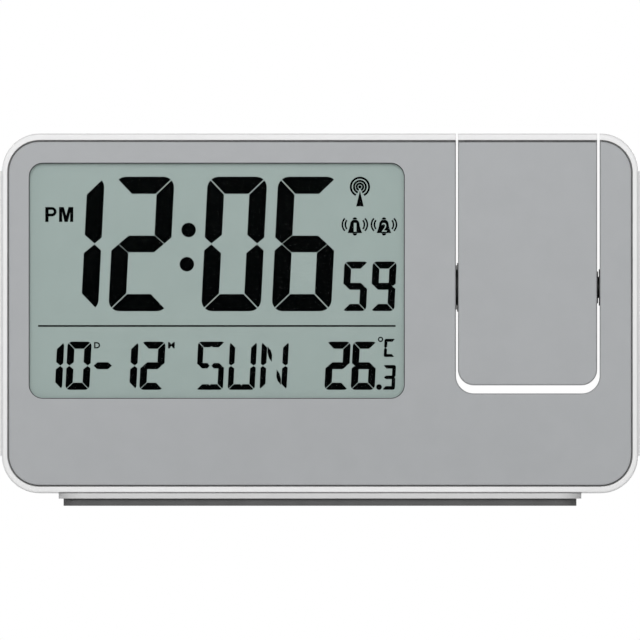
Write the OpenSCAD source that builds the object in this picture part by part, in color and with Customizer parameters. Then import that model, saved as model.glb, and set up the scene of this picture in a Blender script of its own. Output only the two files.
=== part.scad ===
// Projection alarm clock: a slim body on a two-step foot, with a projector arm that tilts in a notch.
// Millimetres. X runs to the right seen from the front, Y to the back and Z up. The origin is at the
// middle of the foot's underside.

/* [Body] */
// Depth of the body from the white rim to the rear face
body_d = 20; // [19.5:0.5:24]
// Corner radius of the body seen from the front
body_r = 8.8; // [7:0.1:10]
// Width of the white rim at the sides
rim_side_w = 1.25; // [1:0.05:2]
// Width of the white rim at the top and the bottom
rim_end_w = 1.53; // [1.2:0.05:2.4]
// How far the straight side faces stand out past the rim
side_proud = 0.4; // [0.2:0.1:1]
// Depth of the grey face behind the rim's front edge
face_recess = 0.4; // [0.2:0.1:0.8]
// Thickness of the grey front panels
panel_t = 1; // [0.9:0.1:1.8]
// Parting gap between the front panel and the rim
panel_gap = 0.3; // [0.15:0.05:0.4]
// Wall thickness of the rear cover
cover_wall = 1.4; // [1.2:0.1:1.8]
// Rounding of the body's rear edge
back_edge_r = 1.2; // [0.7:0.1:1.3]
// Rounding of the white rim's front edge
front_edge_r = 0.5; // [0.3:0.1:0.6]
// Depth of the rear cover's rim
cover_d = 4; // [3.5:0.5:4.5]

/* [Display] */
// Width of the display window
window_w = 88.1; // [80:0.1:100]
// Height of the display window
window_h = 55.3; // [50:0.1:62]
// Corner radius of the display window
window_r = 3.3; // [2:0.1:5]
// Body left of the window
margin_left = 6.3; // [5.8:0.1:12]
// Body above the window
margin_top = 6.84; // [6:0.1:12]
// Body under the window, where the battery cells lie
margin_bottom = 22.15; // [21.5:0.1:30]
// Thickness of the clear display window
window_t = 0.6; // [0.5:0.1:1.2]
// Thickness of the LCD's two glasses
lcd_t = 2.2; // [1.8:0.1:2.4]
// Thickness of the light guide behind the LCD
guide_t = 1.6; // [1.2:0.1:1.8]
// Thickness of the circuit boards
board_t = 1.2; // [0.8:0.1:1.6]

/* [Projector arm] */
// Width of the arm
arm_w = 32.6; // [31:0.1:40]
// Height of the arm, up to the body's top
arm_h = 59; // [54:0.1:62]
// Radius of the arm's lower corners
arm_r = 3.7; // [2:0.1:5]
// Gap at the arm's left
gap_left = 0.5; // [0.5:0.01:1]
// Gap at the arm's right
gap_right = 0.6; // [0.5:0.01:1.2]
// Gap under the arm
gap_under = 1.9; // [1.8:0.02:4]
// Body between the window and the notch
post_w = 12; // [11:0.1:20]
// Body right of the notch
margin_right = 9; // [8.5:0.1:14]
// Radius of the notch's corners
notch_r = 4.2; // [3:0.1:6]
// Height of the pivot over the arm's lower end
pivot_h = 22.95; // [21:0.05:24]
// Distance of the pivot behind the rim's front edge
pivot_d = 9; // [8.8:0.1:9.4]
// Wall thickness of the arm
arm_wall = 1.3; // [1.1:0.1:1.5]
// Radius of the arm's lower rear edge
arm_heel_r = 5; // [4:0.5:7]

/* [Pivot] */
// Radius of the left hub's shaft
left_shaft_r = 4.17; // [3.6:0.01:4.2]
// Radius of the left hub's flange
left_flange_r = 5.7; // [5.4:0.05:6]
// Radius of the left bush's flange
left_bush_r = 5.2; // [5:0.05:5.4]
// Radius of the right hub's shaft
right_shaft_r = 2.5; // [2:0.05:2.6]
// Radius of the right hub's flange
right_flange_r = 3.75; // [3.5:0.05:4.2]
// Radius of the right bush's flange
right_bush_r = 4.27; // [4:0.05:4.4]
// Thickness of the hub and bush flanges in the gaps
flange_t = 0.22; // [0.15:0.01:0.24]
// Radial running clearance of hubs, pins and rings
running = 0.05; // [0.02:0.01:0.09]

/* [Foot] */
// Width of the light foot plate
foot_w = 122.5; // [110:0.5:130]
// Depth of the light foot plate
foot_d = 38; // [34:0.5:46]
// Corner radius of the foot plate seen from above
foot_r = 6; // [4:0.5:10]
// Thickness of the light foot plate
foot_t = 1.26; // [1:0.02:2]
// Thickness of the dark foot pad
pad_t = 1.69; // [1.4:0.01:2.4]
// How far the pad stands back inside the foot plate
pad_inset = 1.15; // [0.8:0.05:2]

/* [Keys] */
// Radius of the rear keys
key_r = 3.4; // [2.8:0.1:4]
// Distance between the rear keys across
key_pitch_x = 15; // [12:0.5:16]
// Distance between the rear keys up
key_pitch_z = 12; // [11:0.5:13]
// How far a rear key stands out
key_out = 0.9; // [0.7:0.1:1.2]
// Travel of a rear key
key_travel = 0.5; // [0.3:0.05:0.55]
// Length of the snooze bar
snooze_w = 56; // [40:1:60]
// Depth of the snooze bar
snooze_d = 6; // [5:0.1:6.2]
// Travel of the snooze bar
snooze_travel = 0.6; // [0.4:0.05:0.65]
// Travel of the projection switch
switch_travel = 3; // [2:0.1:3.5]
// Clearance round keys, doors and knobs
key_gap = 0.2; // [0.15:0.01:0.3]

/* [Battery] */
// Radius of one battery cell
cell_r = 5.25; // [5:0.05:5.3]
// Length of one battery cell, without its button
cell_len = 43.5; // [42:0.1:44.5]
// Height of the button on a cell
cell_button = 1; // [0.8:0.1:1.2]
// Length that the spring takes
spring_len = 4.5; // [4:0.1:6]
// Wall thickness of the battery bay
bay_wall = 1; // [0.8:0.1:1.2]

/* [Hidden] */
$fn = 96;

// Heights and widths of the body
foot_top = pad_t + foot_t;
notch_w = arm_w + gap_left + gap_right;
body_w = margin_left + window_w + post_w + notch_w + margin_right;
body_h = margin_bottom + window_h + margin_top;
body_x0 = -body_w / 2;
body_x1 = body_w / 2;
body_z0 = foot_top;
body_z1 = foot_top + body_h;
front_y = -body_d / 2;
back_y = body_d / 2;
seam_y = back_y - cover_d;
cover_y = back_y - cover_wall;
in_x0 = body_x0 + rim_side_w;
in_x1 = body_x1 - rim_side_w;
in_z0 = body_z0 + rim_end_w;
in_z1 = body_z1 - rim_end_w;
in_r = body_r - rim_side_w;
side_z0 = body_z0 + body_r;
side_z1 = body_z1 - body_r;

// Layers behind the front face
panel_y0 = front_y + face_recess;
panel_y1 = panel_y0 + panel_t;
layer_gap = 0.15;
window_y1 = panel_y1 + window_t;
lcd_y0 = window_y1 + layer_gap;
lcd_y1 = lcd_y0 + lcd_t;
guide_y1 = lcd_y1 + guide_t;
board_y0 = guide_y1 + layer_gap;
board_y1 = board_y0 + board_t;

// Display
window_x0 = body_x0 + margin_left;
window_x1 = window_x0 + window_w;
window_z0 = body_z0 + margin_bottom;
window_z1 = window_z0 + window_h;
window_cx = (window_x0 + window_x1) / 2;
window_lap = 1.2;
lcd_lap = 1.6;
frame_gap = 0.2;
frame_wall = 1.2;
frame_r = 3;
frame_out = lcd_lap + frame_gap + frame_wall;
zebra_h = 2;
led_w = 2;

// Notch and arm
notch_x0 = window_x1 + post_w;
notch_x1 = notch_x0 + notch_w;
arm_x0 = notch_x0 + gap_left;
arm_x1 = arm_x0 + arm_w;
arm_cx = (arm_x0 + arm_x1) / 2;
arm_z0 = body_z1 - arm_h;
notch_z0 = arm_z0 - gap_under;
notch_wall = 1.2;
arm_top_z = body_z1 - rim_end_w - panel_gap;
pivot_z = arm_z0 + pivot_h;
pivot_y = front_y + pivot_d;
arm_seam_y = pivot_y + 5;

// Pivot
bush_wall = 0.7;
bush_len = 3.2;
hub_len = 3.4;
hub_bore_r = left_shaft_r - 1.4;
clip_t = 0.6;
clip_wall = 1.3;
clip_gap = 0.2;
left_bush_in = notch_x0 - bush_len;
right_bush_in = notch_x1 + bush_len;

// Main board
board_low = 4.2;
board_z0 = window_z0 - frame_out - board_low;
board_z1 = window_z1 + lcd_lap;
board_x0 = window_x0 - lcd_lap;
board_x1 = window_x1 + frame_out + 1.2;
boss_r = 2;
board_boss_z = board_z0 + boss_r;
board_ear = 4.6;
screw_r = 0.9;
screw_bite = 3;
board_screw_spots = [
    [board_x0 + 8, board_boss_z],
    [window_x1 - 6, board_boss_z],
    [board_x1 + board_ear / 2, window_z1 - 2],
    [board_x1 + board_ear / 2, window_z0 + 4]
];

// Rear cover screws: in the corners, clear of the bay and the notch
post_r = 2.9;
post_front = board_y1 + 0.8;
post_back = seam_y - 0.8;
corner_inset = 7;
column_x = (notch_x1 + notch_wall + in_x1) / 2;
rear_screw_spots = [
    [body_x0 + corner_inset, body_z1 - corner_inset],
    [body_x0 + corner_inset, body_z0 + corner_inset],
    [column_x, body_z1 - corner_inset - 2],
    [body_x1 - corner_inset, body_z0 + corner_inset]
];
head_r = 2.3;
head_t = 1.4;
shank_r = 1.1;
sink_gap = 0.3;

// Battery bay
bay_gap = 0.2;
bay_x0 = body_x0 + corner_inset + post_r + 1.2 + bay_wall;
cell_gap = 0.05;
cells_x1 = bay_x0 + spring_len + 2 * (cell_len + cell_button) + cell_gap;
bay_x1 = cells_x1 + 1.2;
bay_z0 = in_z0 + bay_wall;
bay_z1 = bay_z0 + 2 * (cell_r + bay_gap);
cell_z = (bay_z0 + bay_z1) / 2;
cell_y = cover_y - 0.7 - cell_r;
bay_y0 = cell_y - cell_r - bay_gap;
contact_t = 0.4;

// Battery door
bead_r = 1.1;
hinge_y = back_y - bead_r;
hinge_z = bay_z0 + bead_r + 0.1;
hinge_pin_r = 0.6;
hinge_pin_len = 1.2;
door_z1 = bay_z1 + 0.8;
door_gap = 0.3;

// Rear keys and their board
key_cx = window_cx + 9;
key_cz = (window_z0 + window_z1) / 2 + 6;
key_flange = 0.8;
key_flange_t = 1;
key_y0 = cover_y - 1.6;
plunger_gap = 0.1;
plunger_end = key_y0 - key_travel - plunger_gap;
switch_body = 4.6;
switch_t = 1.3;
plunger_len = 0.4;
key_board_y1 = plunger_end - plunger_len - switch_t;
key_board_y0 = key_board_y1 - board_t;
key_board_margin = 7.5;
switch_cx = key_cx + key_pitch_x + 15;
key_board_x0 = key_cx - key_pitch_x - key_board_margin;
key_board_x1 = switch_cx + key_board_margin + 1;
key_board_z0 = key_cz - key_pitch_z / 2 - key_board_margin;
key_board_z1 = key_cz + key_pitch_z / 2 + key_board_margin;
stake_r = 0.9;
stake_inset = 2.2;

// Snooze bar and its switch
snooze_x0 = window_cx - snooze_w / 2;
snooze_y0 = board_y0 + 0.8;
snooze_y1 = snooze_y0 + snooze_d;
snooze_lip = 0.7;
snooze_flange_t = 1;
snooze_flange_z1 = in_z1 - 0.1;
snooze_flange_z0 = snooze_flange_z1 - snooze_flange_t;
snooze_switch_z1 = snooze_flange_z0 - snooze_travel - plunger_gap;

// DC inlet
jack_inset = 22;
jack_up = 10.5;
jack_cx = body_x1 - jack_inset;
jack_cz = body_z0 + jack_up;
jack_w = 9;
jack_h = 9;
jack_len = 11;
jack_end = cover_y - jack_len;
jack_end_wall = 1.5;
jack_bore_r = 2.75;
jack_wall = 0.7;
jack_pin_r = 1;

// Buzzer, rod and chip on the boards and cover
buzzer_cx = window_x0 + 14;
buzzer_cz = key_cz;
buzzer_r = 9.5;
rod_r = 2.9;
rod_len = 30;
rod_x0 = window_x0 + 6;
rod_z = window_z1 - 2.4;
rod_y = cover_y - 2.4 - rod_r;

// Optics on the arm's axis
ring_r = 6.2;
ring_bore_r = 5;
ring_lip_r = 6.6;
ring_h = 3;
ring_sunk = 0.2;
barrel_r = 6.2;
barrel_bore_r = 5.3;
barrel_z0 = pivot_z + 0.3;
barrel_z1 = body_z1 - ring_sunk - ring_h - 0.1;
cell_tube_r = ring_bore_r - 0.1;
lens_cell_h = 9;
lens_cell_z1 = body_z1 - 0.8;
lens_r = 4;
lens_t = 3;
lens_sunk = 1;
lens_dome_r = 5;
condenser_z = barrel_z0 + 1;
condenser_t = 3;
condenser_dome_r = 7.5;
led_board_z1 = pivot_z - left_shaft_r - 1.4;
led_r = 2.5;
led_body_h = 3;
connector_x0 = arm_x0 + arm_wall + hub_len - 0.2;

// Outline helpers: a rounded rectangle, a slab along Y from an (X, Z) outline and a span along X
// from a (Y, Z) outline
module rounded(x0, x1, z0, z1, r) {
    translate([x0 + r, z0]) square([x1 - x0 - 2 * r, z1 - z0]);
    translate([x0, z0 + r]) square([x1 - x0, z1 - z0 - 2 * r]);
    for (x = [x0 + r, x1 - r], z = [z0 + r, z1 - r]) translate([x, z]) circle(r);
}

module slab(y0, y1) {
    translate([0, y1, 0]) rotate([90, 0, 0]) linear_extrude(height = y1 - y0) children();
}

module span(x0, x1) {
    translate([x0, 0, 0]) rotate([90, 0, 90]) linear_extrude(height = x1 - x0) children();
}

// A block between two corners
module block(from, to) {
    translate(from) cube(to - from);
}

// A rod along Y through a spot in the (X, Z) plane
module rod_y(spot, y0, y1, r) {
    translate([spot[0], y1, spot[1]]) rotate([90, 0, 0]) cylinder(h = y1 - y0, r = r);
}

// A rod along X on the axis at (y, z)
module rod_x(x0, x1, y, z, r) {
    translate([x0, y, z]) rotate([0, 90, 0]) cylinder(h = x1 - x0, r = r);
}

// A rod up the arm's optical axis
module rod_z(z0, z1, r) {
    translate([arm_cx, pivot_y, z0]) cylinder(h = z1 - z0, r = r);
}

// A screw that points to -Y, with its head's underside at y and a cross in the head
module screw(spot, y, length, head_r, head_t, shank_r) {
    difference() {
        rod_y(spot, y, y + head_t, head_r);
        for (arm = cross_arms(head_r)) block(
            [spot[0] - arm[0], y + head_t - cross_depth, spot[1] - arm[1]],
            [spot[0] + arm[0], y + head_t + 1, spot[1] + arm[1]]
        );
    }
    rod_y(spot, y - length, y, shank_r);
}

cross_depth = 0.5;

// Half sizes of the two bars of a cross recess
function cross_arms(head_r) = [[0.55 * head_r, 0.14 * head_r], [0.14 * head_r, 0.55 * head_r]];

// Outlines that several parts share
module body_outline(inset = 0) {
    rounded(
        body_x0 + inset, body_x1 - inset, body_z0 + inset, body_z1 - inset, body_r - inset
    );
}

// The body's slab from y0 to y1, whose edge at y1 is rounded all round with radius e
module soft_end(y0, y1, e) {
    y = y1 - sign(y1 - y0) * e;
    slab(min(y0, y), max(y0, y)) body_outline();
    slab(min(y, y1), max(y, y1)) body_outline(e);
    for (z = [body_z0 + e, body_z1 - e]) rod_x(body_x0 + body_r, body_x1 - body_r, y, z, e);
    for (x = [body_x0 + e, body_x1 - e])
        translate([x, y, side_z0]) cylinder(h = side_z1 - side_z0, r = e);
    for (turn = [0:90:270]) {
        x = turn == 0 || turn == 270 ? body_x1 - body_r : body_x0 + body_r;
        z = turn < 180 ? side_z1 : side_z0;
        translate([x, y, z]) rotate([90, 0, 0]) rotate([0, 0, turn]) rotate_extrude(angle = 90)
            translate([body_r - e, 0]) circle(e);
    }
}

module inner_outline(inset = 0) {
    rounded(in_x0 + inset, in_x1 - inset, in_z0 + inset, in_z1 - inset, in_r - inset);
}

module notch_outline(grow = 0) {
    rounded(notch_x0 - grow, notch_x1 + grow, notch_z0 - grow, body_z1 + 3 * notch_r, notch_r + grow);
}

module notch_wall_outline() {
    difference() {
        intersection() {
            body_outline();
            notch_outline(notch_wall);
        }
        notch_outline();
    }
}

module window_outline(grow = 0) {
    rounded(
        window_x0 - grow, window_x1 + grow, window_z0 - grow, window_z1 + grow, window_r
    );
}

module arm_outline(inset = 0) {
    x0 = arm_x0 + inset;
    x1 = arm_x1 - inset;
    z0 = arm_z0 + inset;
    r = arm_r - min(inset, arm_r / 2);
    translate([x0 + r, z0]) square([x1 - x0 - 2 * r, arm_top_z - z0]);
    translate([x0, z0 + r]) square([x1 - x0, arm_top_z - z0 - r]);
    for (x = [x0 + r, x1 - r]) translate([x, z0 + r]) circle(r);
}

// The space inside the arm's rounded edges at the rear and along the top's front
module arm_envelope() {
    e = back_edge_r;
    f = front_edge_r;
    intersection() {
        translate([0, 0, arm_z0 - 1]) linear_extrude(height = arm_h + 2) {
            translate([arm_x0, front_y]) square([arm_w, body_d - e]);
            translate([arm_x0 + e, front_y]) square([arm_w - 2 * e, body_d]);
            for (x = [arm_x0 + e, arm_x1 - e]) translate([x, back_y - e]) circle(e);
        }
        span(arm_x0, arm_x1) {
            translate([front_y, arm_z0]) square([body_d, arm_h - e]);
            translate([front_y, arm_z0]) square([body_d - e, arm_h - f]);
            translate([front_y + f, arm_z0]) square([body_d - e - f, arm_h]);
            translate([back_y - e, body_z1 - e]) circle(e);
            translate([front_y + f, body_z1 - f]) circle(f);
        }
    }
}

// Side view of the arm's rear half, whose lower edge is rounded to clear the notch's floor
module heel_outline(inset = 0) {
    y0 = arm_seam_y - 1;
    y1 = back_y - inset;
    z0 = arm_z0 + inset;
    r = arm_heel_r - inset;
    translate([y0, z0 + r]) square([y1 - y0, body_z1 - z0]);
    translate([y0, z0]) square([y1 - y0 - r, r * 2]);
    translate([y1 - r, z0 + r]) circle(r);
}

// Housing

module housing_shell() {
    color("whitesmoke") difference() {
        union() {
            difference() {
                soft_end(seam_y, front_y, front_edge_r);
                slab(front_y - 1, seam_y + 1) inner_outline();
            }
            side_faces(seam_y, front_y + face_recess);
            slab(panel_y1, seam_y) notch_wall_outline();
            slab(panel_y1, panel_y1 + 1.2) difference() {
                inner_outline();
                inner_outline(panel_gap + 0.6);
            }
            for (spot = rear_screw_spots) corner_post(spot);
            for (x = foot_screw_x) foot_boss(x);
        }
        slab(front_y - 1, back_y) notch_outline();
        snooze_slot();
        rod_x(left_bush_in, notch_x0 + 1, pivot_y, pivot_z, left_shaft_r + running + bush_wall);
        rod_x(notch_x1 - 1, right_bush_in, pivot_y, pivot_z, right_shaft_r + running + bush_wall);
        for (spot = rear_screw_spots) rod_y(spot, post_front - 1, post_back + 1, shank_r);
        for (x = foot_screw_x) foot_screw_hole(x);
    }
}

// The proud faces of the straight sides, from y0 to a rounded end at y1
module side_faces(y0, y1) {
    end = y1 - sign(y1 - y0) * side_proud;
    for (side = [-1, 1]) {
        out = side * (body_x1 + side_proud);
        in = side * (body_x1 - rim_side_w / 2);
        block([min(out, in), min(y0, end), side_z0], [max(out, in), max(y0, end), side_z1]);
        translate([side * body_x1, end, side_z0]) cylinder(h = side_z1 - side_z0, r = side_proud);
    }
}

// A screw post with webs that reach the nearest walls
module corner_post(spot) {
    rod_y(spot, post_front, post_back, post_r);
    wall_x = spot[0] < 0 ? body_x0 + rim_side_w / 2 : body_x1 - rim_side_w / 2;
    block(
        [min(wall_x, spot[0]), post_front, spot[1] - 1],
        [max(wall_x, spot[0]), post_back, spot[1] + 1]
    );
}

foot_screw_x = [-0.37 * foot_w, 0.37 * foot_w];
foot_boss_r = 1.8;
foot_boss_y = min(bay_y0 - bay_wall - foot_boss_r - 0.1, panel_y1 + foot_boss_r + 1.4);
foot_boss_h = 6;
foot_shank_r = 0.9;
foot_head_t = 1.1;

module foot_boss(x) {
    translate([x, foot_boss_y, in_z0 - rim_end_w / 2]) cylinder(h = foot_boss_h, r = foot_boss_r);
}

module foot_screw_hole(x) {
    translate([x, foot_boss_y, body_z0 - 1]) cylinder(h = foot_boss_h, r = foot_shank_r);
}

module snooze_slot() {
    block(
        [snooze_x0 - key_gap, snooze_y0 - key_gap, in_z1 - 1],
        [snooze_x0 + snooze_w + key_gap, snooze_y1 + key_gap, body_z1 + 1]
    );
}

module front_panel() {
    color("darkgray") {
        difference() {
            union() {
                slab(panel_y0, panel_y1) inner_outline(panel_gap);
                for (spot = board_screw_spots) rod_y(spot, panel_y1, board_y0, boss_r);
            }
            slab(panel_y0 - 1, panel_y1 + 1) window_outline();
            slab(panel_y0 - 1, board_y0) notch_outline();
            for (spot = board_screw_spots) rod_y(spot, panel_y1, board_y0 + 1, screw_r);
        }
    }
}

module display_window() {
    color("lightcyan", 0.3) slab(panel_y1, window_y1) window_outline(window_lap);
}

module lcd_panel() {
    color("darkseagreen") block(
        [window_x0 - lcd_lap, lcd_y0, window_z0 - lcd_lap],
        [window_x1 + lcd_lap, lcd_y1, window_z1 + lcd_lap]
    );
}

module lcd_frame() {
    lap = lcd_lap + frame_gap;
    color("dimgray") difference() {
        slab(panel_y1, board_y0) rounded(
            window_x0 - frame_out, window_x1 + frame_out,
            window_z0 - frame_out, window_z1 + frame_out, frame_r
        );
        block(
            [window_x0 - lap, panel_y1 - 1, window_z0 - lap],
            [window_x1 + lap, board_y0 + 1, window_z1 + lap]
        );
    }
}

module light_guide() {
    color("ivory") block(
        [window_x0 - lcd_lap, lcd_y1, window_z0 - lcd_lap + zebra_h + 0.8],
        [window_x1 + lcd_lap - led_w - 0.3, guide_y1, window_z1 + lcd_lap]
    );
}

module backlight_leds() {
    for (i = [1, 2]) {
        z = window_z0 + i * window_h / 3;
        color("gold") block(
            [window_x1 + lcd_lap - led_w, lcd_y1 + layer_gap, z - 2],
            [window_x1 + lcd_lap, board_y0, z + 2]
        );
    }
}

module zebra_strip() {
    color("pink") block(
        [window_x0, lcd_y1, window_z0 - lcd_lap + 0.3],
        [window_x1, board_y0, window_z0 - lcd_lap + 0.3 + zebra_h]
    );
}

module main_board() {
    color("seagreen") difference() {
        union() {
            block([board_x0, board_y0, board_z0], [board_x1, board_y1, board_z1]);
            for (i = [2, 3]) {
                z = board_screw_spots[i][1];
                block([board_x1 - 1, board_y0, z - 4], [board_x1 + board_ear, board_y1, z + 4]);
            }
        }
        for (spot = board_screw_spots) rod_y(spot, board_y0 - 1, board_y1 + 1, screw_r + 0.2);
    }
}

module board_screws() {
    color("silver") for (spot = board_screw_spots)
        screw(spot, board_y1, board_t + screw_bite, 2 * screw_r, screw_r, screw_r - 0.1);
}

chip_right = 20;
chip_up = 11;
chip_r = 7;
chip_t = 1.3;
chip_spot = [window_cx + chip_right, window_z0 + chip_up];
crystal_r = 1;
crystal_len = 6;
crystal_x0 = chip_spot[0] + chip_r + 2;

module clock_chip() {
    color("black") rod_y(chip_spot, board_y1, board_y1 + chip_t, chip_r);
}

module quartz_crystal() {
    color("silver")
        rod_x(crystal_x0, crystal_x0 + crystal_len, board_y1 + crystal_r, chip_spot[1], crystal_r);
}

module ferrite_rod() {
    color("darkslategray") rod_x(rod_x0, rod_x0 + rod_len, rod_y, rod_z, rod_r);
}

module antenna_coil() {
    color("peru") difference() {
        rod_x(rod_x0 + rod_len / 3, rod_x0 + 2 * rod_len / 3, rod_y, rod_z, rod_r + 0.8);
        rod_x(rod_x0, rod_x0 + rod_len, rod_y, rod_z, rod_r);
    }
}

module buzzer() {
    color("gold") rod_y([buzzer_cx, buzzer_cz], cover_y - 1.8, cover_y - 1.5, buzzer_r);
    color("white") rod_y([buzzer_cx, buzzer_cz], cover_y - 2.1, cover_y - 1.8, buzzer_r * 0.6);
}

module rear_cover() {
    color("whitesmoke") difference() {
        union() {
            difference() {
                soft_end(seam_y, back_y, back_edge_r);
                slab(seam_y - 1, cover_y) inner_outline();
            }
            side_faces(seam_y, back_y - back_edge_r - face_recess);
            slab(seam_y, cover_y) notch_wall_outline();
            for (spot = rear_screw_spots) rod_y(spot, post_back, cover_y, post_r);
            rod_cradles();
            buzzer_seat();
            key_board_posts();
            bay_walls();
            door_ears();
        }
        slab(seam_y - 1, back_y + 1) notch_outline();
        for (spot = rear_screw_spots) {
            rod_y(spot, post_back - 1, back_y + 1, shank_r + 0.2);
            rod_y(spot, back_y - head_t - sink_gap, back_y + 1, head_r + 0.3);
        }
        for (key = keys) rod_y(key, cover_y - 1, back_y + 1, key_r + key_gap);
        switch_slot();
        sound_slots();
        bay_hollow();
        door_opening();
        rod_y([jack_cx, jack_cz], cover_y - 1, back_y + 1, jack_bore_r + jack_wall);
        jack_pocket();
    }
}

// Blocks that carry the ferrite rod's two ends
module rod_cradles() {
    for (x = [rod_x0 + 1, rod_x0 + rod_len - 4]) difference() {
        block([x, rod_y + 1, rod_z - rod_r], [x + 3, cover_y, rod_z + rod_r]);
        rod_x(rod_x0 - 1, rod_x0 + rod_len + 1, rod_y, rod_z, rod_r);
    }
}

module buzzer_seat() {
    difference() {
        rod_y([buzzer_cx, buzzer_cz], cover_y - 1.5, cover_y, buzzer_r);
        rod_y([buzzer_cx, buzzer_cz], cover_y - 2, cover_y + 1, buzzer_r - 1.2);
    }
}

module sound_slots() {
    slot_w = 1.2;
    for (i = [-2:2]) {
        half = sqrt(pow(buzzer_r - 3, 2) - pow(i * 2.4, 2));
        block(
            [buzzer_cx + i * 2.4 - slot_w / 2, cover_y - 1, buzzer_cz - half],
            [buzzer_cx + i * 2.4 + slot_w / 2, back_y + 1, buzzer_cz + half]
        );
    }
}

stake_spots = [
    for (x = [key_board_x0 + stake_inset, key_board_x1 - stake_inset],
         z = [key_board_z0 + stake_inset, key_board_z1 - stake_inset]) [x, z]
];

module key_board_posts() {
    for (spot = stake_spots) {
        rod_y(spot, key_board_y1, cover_y, stake_r + 0.9);
        rod_y(spot, key_board_y0 - 0.5, key_board_y1, stake_r);
    }
}

module bay_walls() {
    block(
        [bay_x0 - bay_wall, bay_y0 - bay_wall, bay_z0 - bay_wall],
        [bay_x1 + bay_wall, cover_y, bay_z1 + bay_wall]
    );
}

module bay_hollow() {
    block([bay_x0, bay_y0, bay_z0], [bay_x1, cover_y + 0.1, bay_z1]);
}

module door_opening() {
    block(
        [bay_x0, cover_y - door_gap, hinge_z - bead_r - door_gap],
        [bay_x1, back_y + 1, door_z1 + door_gap]
    );
    block(
        [bay_x0, hinge_y - bead_r - door_gap, hinge_z - bead_r - door_gap],
        [bay_x1, back_y + 1, hinge_z + bead_r + door_gap]
    );
    for (x = [bay_x0 - hinge_pin_len - 0.3, bay_x1])
        rod_x(x, x + hinge_pin_len + 0.3, hinge_y, hinge_z, hinge_pin_r + running);
}

// Thick ends that the battery door's pins turn in
module door_ears() {
    for (x = [bay_x0 - bay_wall - 1.6, bay_x1])
        block(
            [x, hinge_y - bead_r, hinge_z - bead_r - 0.4],
            [x + bay_wall + 1.6, back_y - 0.1, hinge_z + bead_r + 0.4]
        );
}

module switch_slot() {
    block(
        [switch_cx - 1.5 - key_gap, cover_y - 1, key_cz - 1.5 - key_gap],
        [switch_cx + 1.5 + switch_travel + key_gap, back_y + 1, key_cz + 1.5 + key_gap]
    );
}

module jack_pocket() {
    block(
        [jack_cx - jack_w / 2, seam_y - 1, jack_cz - jack_h / 2],
        [jack_cx + jack_w / 2, cover_y, jack_cz + jack_h / 2]
    );
}

module rear_screws() {
    length = back_y - head_t - sink_gap - post_front - 0.5;
    color("silver") for (spot = rear_screw_spots)
        screw(spot, back_y - head_t - sink_gap, length, head_r, head_t, shank_r);
}

keys = [
    for (row = [0, 1], column = [0, 1, 2])
        [key_cx + (column - 1) * key_pitch_x, key_cz + (0.5 - row) * key_pitch_z]
];

module key_board() {
    color("seagreen") difference() {
        block([key_board_x0, key_board_y0, key_board_z0], [key_board_x1, key_board_y1, key_board_z1]);
        for (spot = stake_spots) rod_y(spot, key_board_y0 - 1, key_board_y1 + 1, stake_r);
    }
}

module tact_switch(spot) {
    h = switch_body / 2;
    color("silver") block(
        [spot[0] - h, key_board_y1, spot[1] - h],
        [spot[0] + h, key_board_y1 + switch_t, spot[1] + h]
    );
    color("black") rod_y(spot, key_board_y1 + switch_t, plunger_end, 1.2);
}

module key_switches() {
    for (key = keys) tact_switch(key);
}

module slide_switch() {
    color("silver") block(
        [switch_cx - 3, key_board_y1, key_cz - 2],
        [switch_cx + switch_travel + 3, key_board_y1 + 1.6, key_cz + 2]
    );
}

module snooze_switch() {
    z1 = snooze_switch_z1 - 0.5;
    color("silver") block(
        [window_cx - 3, board_y1, z1 - 3.5], [window_cx + 3, board_y1 + 3.4, z1]
    );
    color("black") translate([window_cx, board_y1 + 1.7, z1]) cylinder(h = 0.5, r = 1);
}

module ribbon_cable() {
    color("gray") block(
        [key_cx - 6, board_y1, key_board_z0 + 5.4], [key_cx + 6, key_board_y0, key_board_z0 + 5.8]
    );
}

module battery_cells() {
    for (i = [0, 1]) {
        x = bay_x0 + spring_len + i * (cell_len + cell_button + cell_gap);
        color("steelblue") rod_x(x, x + cell_len, cell_y, cell_z, cell_r);
        color("silver") rod_x(x + cell_len, x + cell_len + cell_button, cell_y, cell_z, 1.9);
    }
}

// The spring's coils rest on its plate and press on the first cell
module battery_spring() {
    turns = 3;
    wire_r = 0.3;
    color("silver") {
        block([bay_x0, cell_y - 4, cell_z - 4.5], [bay_x0 + contact_t, cell_y + 4, cell_z + 4.5]);
        helix(bay_x0 + contact_t + wire_r / 2, bay_x0 + spring_len - wire_r - 0.05, 3.6, 2.2, turns, wire_r);
    }
}

// A conical coil about the cells' axis from x0 to x1, six-sided wire, twelve steps a turn
module helix(x0, x1, r0, r1, turns, wire_r) {
    steps = turns * 12;
    sides = 6;
    points = [
        for (i = [0:steps], j = [0:sides - 1])
            let (
                t = i / steps,
                a = 360 * turns * t,
                b = 360 * j / sides,
                r = r0 + (r1 - r0) * t + wire_r * cos(b)
            )
            [x0 + (x1 - x0) * t + wire_r * sin(b), cell_y + r * cos(a), cell_z + r * sin(a)]
    ];
    ring_faces = [
        for (i = [0:steps - 1], j = [0:sides - 1], half = [0, 1])
            let (a = i * sides + j, b = i * sides + (j + 1) % sides)
            half == 0 ? [a, b, a + sides] : [b, b + sides, a + sides]
    ];
    ends = [
        for (j = [1:sides - 2], end = [0, 1])
            end == 0 ? [0, j + 1, j] : [steps * sides, steps * sides + j, steps * sides + j + 1]
    ];
    polyhedron(points = points, faces = concat(ring_faces, ends));
}

module battery_contact() {
    x0 = bay_x1 - contact_t;
    bump = x0 - cells_x1;
    color("silver") {
        block([x0, cell_y - 4, cell_z - 4.5], [bay_x1, cell_y + 4, cell_z + 4.5]);
        rod_x(x0 - bump, x0, cell_y, cell_z, 1.5);
    }
}

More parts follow.
